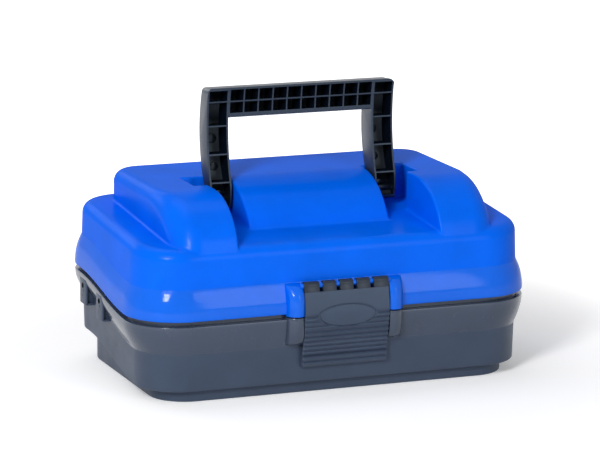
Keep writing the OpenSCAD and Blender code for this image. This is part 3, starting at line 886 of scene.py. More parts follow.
@dataclass(frozen=True)
class LidForm:
    """The lid's outside above its band: a deck, two raised blocks, a hump and the channels."""

    deck_edge: float = 8.5
    draft: float = 1.0
    top: float = 158.0
    block_half: float = 137.0
    block_edge: float = 10.0
    block_rear: float = 83.4
    block_corner: float = 24.0
    nose_edge: float = 21.0
    nose_edge_grows: Spot = (-25.0, -70.0)
    nose_centre: Spot = (-38.0, 110.0)
    nose_length: float = 57.0
    hump_half: float = 60.0
    hump_overlap: float = 12.0
    hump_centre: Spot = (7.5, 93.2)
    hump_radius: float = 64.8
    channel_outer: float = 86.0
    channel_rear: float = 12.5
    notch_outer: float = 97.0
    notch_front: float = -21.0
    notch_overlap: float = 4.0
    inner_edge: float = 1.5
    fillet: float = 2.2
    fillet_grows: Spot = (-90.0, -62.0)
    fillet_least: float = 0.1
    handle_pivot: Spot = (0.0, 141.5)

    def tier(self, x: np.ndarray, y: np.ndarray, z: np.ndarray) -> np.ndarray:
        """Gives the distance to the lower tier.

        Args:
            x, y, z: the points' places, in mm.

        Returns:
            One distance for each point.
        """
        rise = share_between(z, BODY.band_top(y), BODY.deck(y))
        wall = BODY.lid_wall.distance(x, y) + self.draft * rise
        return rounded_and(wall, z - BODY.deck(y), self.deck_edge)

    def block(self, x: np.ndarray, y: np.ndarray, z: np.ndarray) -> np.ndarray:
        """Gives the distance to the raised block over its whole width.

        Args:
            x, y, z: the points' places, in mm.

        Returns:
            One distance for each point.
        """
        cy, cz = self.nose_centre
        long, high = self.nose_length, self.top - cz
        tiny = 1e-9
        a, b = np.minimum(y - cy, 0.0) / long, (z - cz) / high
        q = np.hypot(a, b) + tiny
        nose = (q - 1.0) * q / (np.hypot(a / long, b / high) + tiny)
        plan = rounded_and(np.abs(x) - self.block_half, y - self.block_rear, self.block_corner)
        hump = np.hypot(np.minimum(y - self.hump_centre[0], 0.0), z - self.hump_centre[1])
        middle = np.minimum(hump - self.hump_radius,
                            self.hump_half + self.hump_overlap - np.abs(x))
        forward = share_between(y, *self.nose_edge_grows)
        edge = self.block_edge + (self.nose_edge - self.block_edge) * forward
        return np.maximum(rounded_and(nose, plan, edge), middle)

    def recess(self, x: np.ndarray, y: np.ndarray) -> np.ndarray:
        """Gives the distance to the room for the handle's legs, cut out of the block.

        Args:
            x, y: the points' places, in mm.

        Returns:
            One distance for each point.
        """
        side = np.abs(x)
        channel = np.maximum(np.maximum(self.hump_half - side, side - self.channel_outer),
                             y - self.channel_rear)
        notch = np.maximum(
            np.maximum(self.channel_outer - self.notch_overlap - side, side - self.notch_outer),
            np.maximum(self.notch_front - y, y - self.channel_rear),
        )
        return rounded_or(channel, notch, self.inner_edge)

    def distance(self, points: np.ndarray) -> np.ndarray:
        """Gives the distance of points to the whole form, below 0 inside.

        Args:
            points: one row of x, y and z for each point, in mm.

        Returns:
            One distance for each point.
        """
        x, y, z = points.T
        raised = rounded_and(self.block(x, y, z), -self.recess(x, y), self.inner_edge)
        fillet = self.fillet * share_between(y, *self.fillet_grows, self.fillet_least)
        return rounded_or(self.tier(x, y, z), raised, fillet)

    def step(self, points: np.ndarray, skin: float) -> np.ndarray:
        """Gives each point's way to the form, from the distance and its slope.

        Args:
            points: one row of x, y and z for each point, in mm.
            skin: how far inside the form the points are to come.

        Returns:
            One row for each point.
        """
        reach, least_slope, longest = 0.05, 0.2, 4.0
        slope = np.empty_like(points)
        for axis, shift in enumerate(np.eye(3) * reach):
            ahead, behind = self.distance(points + shift), self.distance(points - shift)
            slope[:, axis] = (ahead - behind) / (2 * reach)
        steep = np.maximum((slope ** 2).sum(axis=1, keepdims=True), least_slope)
        here = self.distance(points) + skin
        return np.clip(here[:, None] * slope / steep, -longest, longest)

    def settle(self, bm: BMesh, skin: float, rounds: int = 3) -> None:
        """Moves a mesh's vertices onto the form, and evens them out between.

        Args:
            bm: a mesh that is close to the form.
            skin: how far inside the form the mesh comes to lie.
            rounds: how often it is evened out.
        """
        verts = list(bm.verts)
        smoothings, steps = 2, 5
        for turn in range(rounds + 1):
            for _ in range(smoothings if turn else 0):
                bmesh.ops.smooth_vert(bm, verts=verts, factor=0.5,
                                      use_axis_x=True, use_axis_y=True, use_axis_z=True)
            points = np.array([v.co for v in verts])
            for _ in range(steps):
                points -= self.step(points, skin)
            for vert, point in zip(verts, points):
                vert.co = point

    def ridge_top(self, y: float) -> float:
        """Gives the height of the raised block.

        Args:
            y: the depth at which it is wanted.

        Returns:
            The height.
        """
        cy, cz = self.nose_centre
        if y < cy:
            ahead = (y - cy) / self.nose_length
            return cz + (self.top - cz) * math.sqrt(max(0.0, 1 - ahead ** 2))
        past = max(0.0, y - self.block_rear + self.block_edge)
        return self.top - self.block_edge + math.sqrt(max(0.0, self.block_edge ** 2 - past ** 2))

    def hump_top(self, y: float) -> float:
        """Gives the height of the hump at a depth y in front of its crest."""
        cy, cz = self.hump_centre
        return cz + math.sqrt(max(0.0, self.hump_radius ** 2 - (y - cy) ** 2))

    def rough(self, voxel: float) -> BMesh:
        """Makes a mesh that is close to the form, with even faces.

        Args:
            voxel: the size of its faces.

        Returns:
            The closed mesh.
        """
        skin = RingSkin()
        skin.add(BODY.lid_wall, BODY.band_top, -8.0)
        skin.cap(skin.ring)
        skin.rounded(BODY.lid_wall.inset(self.draft), BODY.deck, self.deck_edge, True, first=0)
        skin.cap(skin.ring)
        nose = self.nose_centre[0] - self.nose_length
        crest = self.hump_centre[0]
        steps, floor, overlap = 40, self.nose_centre[1] - 8.0, 0.3
        for x0, x1, y0, y1, top in (
            (self.notch_outer, self.block_half - 2.0, nose, self.block_rear, self.ridge_top),
            (self.channel_outer, self.notch_outer, nose, self.notch_front, self.ridge_top),
            (self.hump_half, self.notch_outer, self.channel_rear, self.block_rear, self.ridge_top),
            (-1.0, self.hump_half, crest - 2.0, self.block_rear, self.ridge_top),
            (-1.0, self.hump_half, crest - self.hump_radius * 0.9, crest + 2.0, self.hump_top),
        ):
            ys = [y0 + (y1 - y0) * i / steps for i in range(steps, -1, -1)]
            profile = [(y1, floor), *((y, max(top(y), floor + 1)) for y in ys), (y0, floor)]
            for side in (-1, 1):
                prism(skin.bm, profile, side * (x0 - overlap), side * (x1 + overlap))
        return remeshed(skin.bm, voxel)


@dataclass
class Lid(SubAssembly):
    """The blue lid: its flared band, its top, and what stands on them."""

    body: ClassVar[str] = "lid"
    slot: ClassVar[Slot] = Slot.BLUE
    form: LidForm = field(default_factory=LidForm)
    flare_steps: int = 16
    flare_power: float = 2.4
    edge: float = 0.8
    guard: LatchGuard = field(default_factory=LatchGuard)
    guard_levels: tuple[Spot, ...] = (
        (65.1, 0.97), (65.5, 1.0), (70.0, 1.0), (75.0, 1.0), (78.5, 0.98), (81.5, 0.93),
        (84.0, 0.84), (86.5, 0.70), (88.4, 0.52), (89.7, 0.34), (90.4, 0.12),
    )
    bar_radius: float = 2.2
    link_at: Spot = (40.814, 116.7)
    lug_radius: float = 6.0
    lug_width: float = 3.3
    stop_x: Spot = (87.0, 93.0)
    seat_end: float = 52.0

    def flare(self, skin: RingSkin, share: float, inward: float = 0.0) -> None:
        """Adds the ring at a share of the band's height, moved inwards."""
        outline = BODY.lid_wall.toward(BODY.rim, 1 - share ** self.flare_power).inset(inward)
        skin.add(outline, BODY.seam, BODY.lid_band * share)

    def band(self) -> None:
        """Builds the glossy flared band with its inner wall."""
        skin = RingSkin()
        start = self.edge / BODY.lid_band
        skin.add(BODY.rim.inset(BODY.wall), BODY.seam)
        skin.add(BODY.rim.inset(self.edge), BODY.seam)
        skin.rounded(BODY.rim, BODY.seam, self.edge, False)
        for i in range(1, self.flare_steps + 1):
            self.flare(skin, start + (1 - start) * i / self.flare_steps)
        skin.add(BODY.lid_wall.inset(BODY.wall), BODY.band_top, 0.3)
        for i in range(self.flare_steps - 1, 0, -1):
            self.flare(skin, i / self.flare_steps, BODY.wall)
        skin.close()
        self.piece(skin.bm, "lid_band", self.finishes.blue_gloss)

    def cover(self, name: str, voxel: float, skin: float, foot: float) -> None:
        """Builds one side of the lid's top.

        Args:
            name: the piece's name.
            voxel: the size of its faces.
            skin: how far it lies inside the form, 0 for the outer side.
            foot: how far its lower edge is above the top of the band.
        """
        bm = self.form.rough(voxel)
        deep = 6.0
        depths = self.form.distance(np.array([v.co for v in bm.verts]))
        floor = [v for v, depth in zip(bm.verts, depths)
                 if depth < -deep or v.co.z < BODY.band_top(v.co.y) - deep]
        bmesh.ops.delete(bm, geom=floor, context="VERTS")
        self.form.settle(bm, skin)
        low = [v for v in bm.verts if v.co.z < BODY.band_top(v.co.y) + foot]
        bmesh.ops.delete(bm, geom=low, context="VERTS")
        for vert in bm.verts:
            if vert.is_boundary:
                vert.co.z = float(BODY.band_top(vert.co.y)) + foot
        bmesh.ops.recalc_face_normals(bm, faces=bm.faces)
        if skin:
            bmesh.ops.reverse_faces(bm, faces=bm.faces)
        self.piece(bm, name, self.finishes.blue_satin, replaced=() if skin else ("lid_shell",),
                   crease=60.0, recalculate=False)

    def latch_bar(self) -> None:
        """Builds the bar that the latch turns on, with its webs and the guards beside it."""
        bm = bmesh.new()
        y, z = LATCH_AXIS
        reach = self.guard.sides[0] + 2.0
        rod(bm, LATCH_AXIS, self.bar_radius, -reach, reach)
        for i in range(1, LATCH_KNUCKLES):
            x = LATCH_WIDTH * (i / LATCH_KNUCKLES - 0.5)
            block(bm, (x - 1.0, y, z - 1.6), (x + 1.0, self.guard.back, z + 1.6), 0.3)
        self.piece(bm, "latch_bar", self.finishes.blue_gloss)
        self.piece(self.guard.loft(self.guard_levels), "lid_latch_guards",
                   self.finishes.blue_gloss)

    def inner_fittings(self) -> None:
        """Builds the link lugs, the stops over the tongue and the seats of the handle's pins."""
        bm = bmesh.new()
        y, z = self.link_at
        lug, radius = ARM_REACH - self.lug_width, self.lug_radius
        block(bm, (lug, y - radius, z), (ARM_REACH, y + radius, float(BODY.deck(y)) - 1.2))
        rod(bm, self.link_at, radius, lug, ARM_REACH)
        front = -BODY.rim.half_y
        top = float(BODY.ledge(front)) + BODY.tongue_height
        left, right = self.stop_x
        block(bm, (left, front + 1.8, top + 0.25), (right, front + 7.6, top + 4.5))
        rod(bm, self.form.handle_pivot, radius, self.seat_end, self.form.hump_half - 0.4)
        mirror_left(bm)
        self.piece(bm, "lid_fittings", self.finishes.blue_satin)

    def build(self) -> None:
        """Builds every piece of the lid."""
        self.band()
        self.cover("lid_top", 1.35, 0.0, -2.0)
        self.cover("lid_lining", 3.2, BODY.wall, 0.0)
        self.latch_bar()
        self.inner_fittings()
        self.piece(HINGE.knuckles(1, (1.0, 6.5)), "lid_hinge_knuckles", self.finishes.blue_gloss)


# ---------------------------------------------------------------- base


@dataclass(frozen=True)
class PivotHood:
    """The boss on the outside of the base over an arm's pivot, open to the front."""

    pivot: Spot
    half: float = 8.0
    below: float = 15.5
    above: float = 6.5
    face_x: float = 170.0
    plate: float = 1.8
    pocket: float = 3.2
    sill: float = 1.6
    roof: float = 2.5
    eyes: tuple[Point, ...] = ((0.0, 0.0, 2.6), (-1.2, -4.0, 1.0), (1.2, -8.5, 1.0))
    oval_half: Spot = (5.2, 7.6)
    oval_drop: float = 5.2
    oval_rise: float = 0.35

    def add(self, bm: BMesh) -> None:
        """Adds the hood.

        Args:
            bm: the mesh to add to, of the right side.
        """
        y, z = self.pivot
        front, rear, low, high = y - self.half, y + self.half, z - self.below, z + self.above
        inner, outer = BODY.base_foot.half_x - 1.5, self.face_x - self.plate
        block(bm, (outer - 0.5, front, low), (self.face_x, rear, high), 1.6)
        block(bm, (inner, front + self.pocket, low), (outer, rear, high))
        block(bm, (inner, front, low), (outer, rear, low + self.sill))
        block(bm, (inner, front, high - self.roof), (outer, rear, high))
        self.oval(bm)
        for along, up, radius in self.eyes:
            rod(bm, (y + along, z + up), radius, self.face_x - 0.3, self.face_x, 0.2, 20)

    def oval(self, bm: BMesh) -> None:
        """Adds the oval ring in the hood's outer face.

        Args:
            bm: the mesh to add to, of the right side.
        """
        at = (self.face_x - self.oval_rise, self.pivot[0], self.pivot[1] - self.oval_drop)
        place = Matrix.Translation(at) @ Matrix.Diagonal((1.0, *self.oval_half, 1.0))
        turn = Matrix.Rotation(math.radians(90), 4, "Y")
        made = bmesh.ops.create_circle(bm, cap_ends=False, segments=28, radius=1.0,
                                       matrix=place @ turn)
        ring = dict.fromkeys(e for v in made["verts"] for e in v.link_edges)
        spun = bmesh.ops.extrude_edge_only(bm, edges=list(ring))["geom"]
        bmesh.ops.translate(bm, verts=[v for v in spun if isinstance(v, BMVert)],
                            vec=(self.oval_rise, 0.0, 0.0))


@dataclass
class Base(SubAssembly):
    """The slate base: its shell, the tongue, the pivot hoods and the latch's keeper."""

    body: ClassVar[str] = "base"
    slot: ClassVar[Slot] = Slot.SLATE
    tongue_outer: float = 5.5
    tongue_inner: float = 7.7
    tongue_edge: float = 0.5
    tongue_fillet: float = 0.3
    floor: float = 2.6
    floor_fillet: float = 2.0
    flare_steps: int = 14
    edge: float = 0.8
    plinth_edge: float = 1.2
    plinth_step: float = 0.5
    foot_fillet: float = 1.4
    guard: LatchGuard = field(default_factory=lambda: LatchGuard(crest=LATCH_FRONT + 1.2))
    guard_levels: tuple[Spot, ...] = (
        (40.6, 0.25), (41.2, 0.50), (42.4, 0.68), (44.5, 0.82), (47.5, 0.92), (51.0, 0.98),
        (55.0, 1.0), (60.0, 1.0), (63.6, 1.0), (64.0, 0.98),
    )
    keeper: tuple[Spot, ...] = ((-98.0, 46.0), (-101.6, 48.0), (-101.6, 51.0), (-98.0, 54.0))
    keeper_half: float = 24.0
    pivots: tuple[Spot, Spot] = ((2.7, 64.0), (44.6, 68.0))
    post_radius: float = 5.0

    def foot(self, skin: RingSkin) -> None:
        """Adds the plinth and the step up to the wall.

        Args:
            skin: the skin to add to.
        """
        plinth, ground = BODY.plinth, lambda y: 0.0
        skin.add(plinth.inset(self.plinth_edge), ground)
        skin.cap(skin.first)
        skin.rounded(plinth, ground, self.plinth_edge, False, steps=3)
        skin.add(plinth, BODY.plinth_top, -self.plinth_step)
        skin.add(plinth.inset(-self.plinth_step), BODY.plinth_top)
        skin.rounded(BODY.base_foot, BODY.plinth_top, self.foot_fillet, False, first=0)

    def flare(self, skin: RingSkin, share: float, inward: float, foot: float) -> None:
        """Adds one ring of the flared band.

        Args:
            skin: the skin to add to.
            share: how far up the band the ring is.
            inward: how far inside the outer face it is.
            foot: how far below the rim the band ends.
        """
        outline = BODY.base_head.toward(BODY.rim, math.sin(math.pi / 2 * share)).inset(inward)
        low, high = BODY.band_foot, BODY.ledge
        skin.add(outline, lambda y: low(y) + (high(y) - foot - low(y)) * share,
                 finish=1 if share and not inward else 0)

    def shell(self) -> None:
        """Builds the base's shell, from the plinth over the tongue down to the floor."""
        skin = RingSkin()
        self.foot(skin)
        steps, wall, top = self.flare_steps, BODY.wall, BODY.tongue_height
        for i in range(steps + 1):
            self.flare(skin, i / steps, 0.0, self.edge)
        skin.rounded(BODY.rim, BODY.ledge, self.edge, True, finish=1)
        outer, inner = BODY.rim.inset(self.tongue_outer), BODY.rim.inset(self.tongue_inner)
        fillet, round_off = self.tongue_fillet, self.tongue_edge
        for outline, lift, finish in (
            (outer.inset(-fillet), 0.0, 1), (outer, fillet, 1), (outer, top - round_off, 1),
            (outer.inset(round_off), top, 1), (inner.inset(-round_off), top, 1),
            (inner, top - round_off, 1), (inner, -wall, 0),
        ):
            skin.add(outline, BODY.ledge, lift, finish)
        for i in range(steps, -1, -1):
            self.flare(skin, i / steps, wall + 0.2, wall + self.edge)
        foot, plinth = BODY.base_foot, BODY.plinth.inset(wall)
        skin.add(foot.inset(wall), BODY.plinth_top, wall + 2.0)
        skin.add(foot.inset(wall + 1.8), BODY.plinth_top, wall)
        skin.add(plinth, BODY.plinth_top, wall)
        skin.add(plinth, lambda y: self.floor, self.floor_fillet)
        skin.add(plinth.inset(self.floor_fillet), lambda y: self.floor)
        skin.cap(skin.ring)
        self.piece(skin.bm, "base_shell_body", self.finishes.slate_satin, self.finishes.slate_gloss,
                   replaced=("base_shell",))

    def hoods(self) -> None:
        """Builds the hoods over the arms' pivots and the posts behind them."""
        bm = bmesh.new()
        for pivot in self.pivots:
            PivotHood(pivot).add(bm)
            rod(bm, pivot, self.post_radius, ARM_REACH, BODY.base_head.half_x - 0.5)
        mirror_left(bm)
        self.piece(bm, "pivot_hoods", self.finishes.slate_satin, recalculate=False)

    def front_fittings(self) -> None:
        """Builds the lower cheeks beside the latch and the keeper behind it."""
        self.piece(self.guard.loft(self.guard_levels), "base_latch_guards",
                   self.finishes.slate_gloss)
        bm = bmesh.new()
        prism(bm, self.keeper, -self.keeper_half, self.keeper_half, 0.4)
        self.piece(bm, "latch_keeper", self.finishes.slate_satin)

    def build(self) -> None:
        """Builds every piece of the base."""
        self.shell()
        self.hoods()
        self.front_fittings()
        self.piece(HINGE.knuckles(0, (-9.0, -1.0)), "base_hinge_knuckles",
                   self.finishes.slate_gloss)


# ---------------------------------------------------------------- latch


@dataclass
class Latch(SubAssembly):
    """The front latch: a bulged plate with grip ribs, a plain oval and knuckles on a bar."""

    body: ClassVar[str] = "latch"
    slot: ClassVar[Slot] = Slot.SLATE
    foot_z: float = 22.5
    bulge_z: float = 67.0
    top_z: float = 84.0
    top_bend: Point = (4.2, 24.0, 1.8)
    foot_bend: Point = (8.6, 42.5, 1.4)
    barrel: float = 3.4
    thickness: float = 1.9
    crest_depth: float = 0.9
    cell: float = 0.5
    gap: float = 3.0
    oval_z: float = 64.2
    oval_half: Spot = (24.4, 8.9)
    oval_rim: Spot = (0.96, 1.04)
    oval_rise: float = 0.6
    oval_groove: float = 0.4
    rib_pitch: float = 4.1
    rib_top: float = 66.3
    rib_rise: float = 1.7
    rib_fall: float = 0.7
    lip_z: float = 31.2
    lip_rise: float = 2.2
    edge: float = 0.9
    catch_half: float = 22.0

    def face(self, z: float) -> float:
        """Gives the depth of the plate's bare outer face.

        Args:
            z: the height at which it is wanted.

        Returns:
            The depth, which falls back by a power curve above and below the bulge.
        """
        fall, span, power = self.top_bend if z >= self.bulge_z else self.foot_bend
        return LATCH_FRONT + self.crest_depth + fall * (abs(z - self.bulge_z) / span) ** power

    def relief(self, x: float, z: float) -> float:
        """Gives how far the ribs, the lip and the oval stand out at a place on the plate.

        Args:
            x: the place along X.
            z: the place along Z.

        Returns:
            The relief, which falls off round the side edges.
        """
        oval = math.hypot(x / self.oval_half[0], (z - self.oval_z) / self.oval_half[1])
        if oval < self.oval_rim[0]:
            rise = self.oval_rise
        elif oval < self.oval_rim[1]:
            rise = -self.oval_groove
        elif z > self.rib_top:
            rise = 0.0
        else:
            share, fall = ((self.rib_top - z) / self.rib_pitch) % 1.0, self.rib_fall
            tooth = 1.0 - share / fall if share < fall else (share - fall) / (1.0 - fall)
            rise = self.rib_rise * (tooth - 0.5)
        if z < self.lip_z:
            rise += self.lip_rise
        past = max(0.0, abs(x) - LATCH_WIDTH / 2 + self.edge)
        return rise - (self.edge - math.sqrt(max(0.0, self.edge ** 2 - past ** 2)))

    def plate(self) -> None:
        """Builds the plate as a fine grid that is pushed out by its relief."""
        bm = bmesh.new()
        wide, high = LATCH_WIDTH, self.top_z - self.foot_z
        turn = Matrix.Rotation(math.radians(90), 4, "X")
        place = Matrix.Translation((0.0, 0.0, self.foot_z + high / 2)) @ turn @ Matrix.Diagonal(
            (wide / 2, high / 2, 1.0, 1.0))
        bmesh.ops.create_grid(bm, x_segments=round(wide / self.cell),
                              y_segments=round(high / self.cell), size=1.0, matrix=place)
        for vert in bm.verts:
            vert.co.y = self.face(vert.co.z) - self.relief(vert.co.x, vert.co.z)
        back = bmesh.ops.extrude_face_region(bm, geom=list(bm.faces), use_keep_orig=True)["geom"]
        for vert in (item for item in back if isinstance(item, BMVert)):
            vert.co.y = self.face(vert.co.z) + self.thickness
        self.piece(bm, "latch_plate", self.finishes.slate_satin, replaced=("latch",), crease=50.0)

    def knuckles(self) -> None:
        """Builds the knuckles round the bar, with a slot between each two."""
        bm = bmesh.new()
        y, z = LATCH_AXIS
        foot = self.top_z - 0.6
        around = [(y - self.barrel * math.cos(a), z + self.barrel * math.sin(a))
                  for a in map(math.radians, range(-6, 215, 10))]
        profile = [*((self.face(h), h) for h in (foot, foot + 1.5, foot + 3.0)), *around,
                   (self.face(foot) + self.thickness, foot)]
        pitch, last = LATCH_WIDTH / LATCH_KNUCKLES, LATCH_KNUCKLES - 1
        for i in range(LATCH_KNUCKLES):
            x0 = -LATCH_WIDTH / 2 + i * pitch + (self.gap / 2 if i else 0.0)
            x1 = -LATCH_WIDTH / 2 + (i + 1) * pitch - (self.gap / 2 if i < last else 0.0)
            prism(bm, profile, x0, x1, 0.7)
        # The knuckles take the darkened slate: painted shade.
        self.piece(bm, "latch_knuckles", self.finishes.slate_smooth_painted_shade)

    def catch(self) -> None:
        """Builds the rib on the latch's back that stands in front of the keeper."""
        bm = bmesh.new()
        back = LATCH_AXIS[0]
        prism(bm, ((self.face(44.0) + 1.0, 41.0), (back, 42.5), (back, 45.0),
                   (self.face(47.0) + 1.0, 48.0)), -self.catch_half, self.catch_half, 0.3)
        self.piece(bm, "latch_catch", self.finishes.slate_satin)

    def build(self) -> None:
        """Builds every piece of the latch."""
        self.plate()
        self.knuckles()
        self.catch()


# ---------------------------------------------------------------- handle


def corner_drop(radius: float, into: float) -> float:
    """Gives how far a rounded corner has fallen at a distance in from the side."""
    return radius - math.sqrt(radius ** 2 - max(0.0, radius - into) ** 2)


@dataclass
class Handle(SubAssembly):
    """The folding handle: a bent bow with two rows of cells in the grip and one in each leg.

    Heights h are measured from the pivot, along the bow before it is leant back.
    """

    body: ClassVar[str] = "handle"
    slot: ClassVar[Slot] = Slot.BLACK
    half: float = 80.6
    leg: float = 18.4
    rise: float = 90.45
    lean: float = 4.5
    pivot: Spot = LidForm.handle_pivot
    leg_end: float = -8.0
    grip_low: float = 66.0
    rib: float = 1.2
    side_skin: float = 1.5
    back_skin: float = 3.5
    mid_rib: float = 79.0
    grip_cells: int = 10
    leg_ribs: tuple[float, ...] = (14.2, 36.5, 59.4)
    top_corner: float = 4.5
    rear_edge: float = 5.6
    top_edge: float = 3.6
    bend_radius: float = 135.0
    bend_height: float = 49.0
    front_crest: float = -7.8
    front_foot: float = -12.6
    rear_crest: float = 14.6
    rear_bend: float = 1.5
    rear_foot: float = 9.6
    rear_slope: float = 0.2
    rear_slope_from: float = 8.0
    reach: float = 40.0
    rim_radius: float = 0.35
    boss_radius: float = 4.6
    marks: tuple[Spot, ...] = ((25.5, 3.6), (48.0, 3.9), (4.0, 3.2))
    marks_share: float = 0.42

    @property
    def inner(self) -> float:
        """Gives the distance from the middle to a leg's inner side."""
        return self.half - self.leg

    def bend(self, h: float) -> float:
        """Gives how far the bow has come forward from its crest at a height h."""
        return self.bend_radius - math.sqrt(self.bend_radius ** 2 - (h - self.bend_height) ** 2)

    def front(self, h: float) -> float:
        """Gives the depth of the front face at a height h."""
        return max(self.front_crest - self.bend(h), self.front_foot - BODY.deck_slope * h)

    def rear(self, h: float) -> float:
        """Gives the depth of the rear face at a height h."""
        straight = self.rear_foot + max(0.0, h - self.rear_slope_from) * self.rear_slope
        return min(self.rear_crest - self.bend(h) * self.rear_bend, straight)

    def profile(self) -> list[Spot]:
        """Gives the handle's side profile.

        Returns:
            The profile's corners as (y, h).
        """
        rise, end, edge, steps = self.rise, self.leg_end, self.top_edge, 24
        heights = [2.0 + (rise - 6.0) * i / steps for i in range(steps + 1)]
        top = [(self.rear(rise - edge) - edge * (1 - math.cos(a)),
                rise - edge + edge * math.sin(a))
               for a in map(math.radians, (90, 67.5, 45, 22.5))]
        return [
            (-8.0, end), (-10.2, end + 1.4), (-10.8, end + 4.0),
            *((self.front(h), h) for h in heights),
            (self.front(rise - 1.6), rise - 1.6), (self.front(rise) + 1.2, rise - 0.3),
            (self.front(rise) + 2.6, rise), *top,
            *((self.rear(h), h) for h in reversed(heights) if h < rise - edge),
            (9.0, end + 3.0), (8.2, end + 1.0), (6.0, end),
        ]

    def cell(self, bm: BMesh, x0: float, x1: float, h0: float, h1: float) -> None:
        """Adds the room of one cell, whose back follows the bow.

        Args:
            bm: the mesh of all cells.
            x0: its left side.
            x1: its right side.
            h0: its lower side.
            h1: its upper side.
        """
        steps = 5
        back = [(self.rear(h) - self.back_skin, h)
                for h in (h0 + (h1 - h0) * i / steps for i in range(steps + 1))]
        prism(bm, [(-self.reach, h0), *back, (-self.reach, h1)], x0, x1)

    def cells(self) -> BMesh:
        """Gives the room of all cells.

        Returns:
            The mesh.
        """
        bm = bmesh.new()
        r, roof = self.rib, self.rise - 1.8
        pitch = (2 * self.inner - r) / self.grip_cells
        for i in range(self.grip_cells):
            x0 = -self.inner + r + i * pitch
            self.cell(bm, x0, x0 + pitch - r, self.grip_low + 3.6, self.mid_rib - r / 2)
            self.cell(bm, x0, x0 + pitch - r, self.mid_rib + r / 2, roof)
        edges = (self.leg_end + 2.5, *self.leg_ribs, self.mid_rib, roof)
        for low, high in zip(edges, edges[1:]):
            for side in (-1, 1):
                self.cell(bm, side * (self.inner + self.side_skin),
                          side * (self.half - self.side_skin), low + r / 2, high - r / 2)
        return bm

    def gap(self) -> BMesh:
        """Gives the room between the legs, rounded under the grip for the fingers.

        Returns:
            The mesh.
        """
        bm = bmesh.new()
        low, reach, end = self.grip_low, self.reach, self.leg_end - 5.0
        under = [(y, low + 0.012 * (y - 2.0) ** 2 - 1.0) for y in range(-14, 22, 3)]
        prism(bm, [(-reach, low + 2.4), *under, (reach, low + 4.0), (reach, end), (-reach, end)],
              -self.inner, self.inner)
        return bm

    def solid(self) -> BMesh:
        """Builds the bow without its cells, rounded at its top corners and its outer rear edges.

        Returns:
            The mesh.
        """
        steps = 8
        ins = [self.rear_edge * (1 - math.cos(math.pi / 2 * i / steps)) for i in range(steps + 1)]
        skin = RingSkin()
        for side, depths in ((-1, ins), (1, reversed(ins))):
            for into in depths:
                top = self.rise - corner_drop(self.top_corner, into)
                behind = corner_drop(self.rear_edge, into)
                skin.add_points([(side * (self.half - into), min(y, self.rear(z) - behind),
                                  min(z, top)) for y, z in self.profile()])
        skin.cap(skin.first)
        skin.cap(skin.ring)
        return skin.bm

    def place(self) -> Matrix:
        """Gives the handle's place on the lid."""
        lean = Matrix.Rotation(math.radians(-self.lean), 4, "X")
        return Matrix.Translation((0.0, *self.pivot)) @ lean

    def bow(self) -> None:
        """Builds the bow with its cells and rounded rims."""
        bm = cut_out(self.solid(), self.gap())
        # The cells' faces take index 1, the far darker black: painted shade inside the cells.
        bm = cut_out(bm, self.cells(), 1)
        bmesh.ops.dissolve_limit(bm, angle_limit=math.radians(0.4), verts=bm.verts, edges=bm.edges,
                                 use_dissolve_boundaries=False)
        round_edges(bm, bm.verts, self.rim_radius, 2, 40.0)
        bm.transform(self.place())
        self.piece(bm, "handle_bow", self.finishes.black, self.finishes.painted_shade_black,
                   replaced=("handle",), crease=40.0)

    def bosses(self) -> None:
        """Builds the bosses round the pins and the round marks in the legs' cells."""
        bm = bmesh.new()
        rod(bm, (0.0, 0.0), self.boss_radius, self.inner + 1.0, self.half - 1.0)
        turn = Matrix.Rotation(math.radians(90), 4, "X")
        for h, radius in self.marks:
            at = (self.inner + self.leg * self.marks_share, self.rear(h) - self.back_skin - 0.5, h)
            made = bmesh.ops.create_cone(
                bm, cap_ends=True, segments=28, radius1=radius, radius2=radius, depth=1.2,
                matrix=Matrix.Translation(at) @ turn,
            )
            round_edges(bm, made["verts"], 0.3, 2)
        mirror_left(bm)
        bm.transform(self.place())
        # The bosses and marks deep in the cells take the far darker black: painted shade.
        self.piece(bm, "handle_bosses", self.finishes.painted_shade_black, recalculate=False)

    def build(self) -> None:
        """Builds every piece of the handle."""
        self.bow()
        self.bosses()


# ---------------------------------------------------------------- scene


def toward_viewer(azimuth: float, elevation: float) -> Vector:
    """Gives the direction from the box to a place, from its angles in degrees.

    Args:
        azimuth: the turn from the front to the left.
        elevation: the rise over the floor.

    Returns:
        The unit vector.
    """
    turn, tilt = math.radians(azimuth), math.radians(elevation)
    return Vector((
        -math.sin(turn) * math.cos(tilt), -math.cos(turn) * math.cos(tilt), math.sin(tilt)
    ))


@dataclass(frozen=True)
class Lens:
    """The photograph's camera, worked out from the outline of the box."""

    azimuth: float = 21.44
    elevation: float = 11.98
    roll: float = 0.38
    focal_px: float = 3476.8
    aim_px: Spot = (297.92, 266.85)
    distance: float = 2839.668
    aim: Point = (0.0, 0.0, 80.0)

    def place(self) -> None:
        """Makes the camera and sets it as the scene's."""
        turn = math.radians(self.azimuth)
        right = Vector((math.cos(turn), -math.sin(turn), 0.0))
        ahead = -toward_viewer(self.azimuth, self.elevation)
        level = Matrix((right, -right.cross(ahead), ahead))
        axes = Matrix.Rotation(math.radians(self.roll), 3, "Z") @ level
        offset = Vector((
            (self.aim_px[0] - IMAGE_WIDTH / 2) / self.focal_px * self.distance,
            (self.aim_px[1] - IMAGE_HEIGHT / 2) / self.focal_px * self.distance,
            self.distance,
        ))
        eye = Vector(self.aim) - axes.transposed() @ offset
        data = bpy.data.cameras.new("camera")
        data.sensor_width = SENSOR_WIDTH
        data.lens = self.focal_px / IMAGE_WIDTH * SENSOR_WIDTH
        data.clip_end = 50.0
        camera = place_object("camera", data)
        pose = Matrix((axes[0], -axes[1], -axes[2])).transposed().to_4x4()
        camera.matrix_world = Matrix.Translation(eye * MM) @ pose
        bpy.context.scene.camera = camera


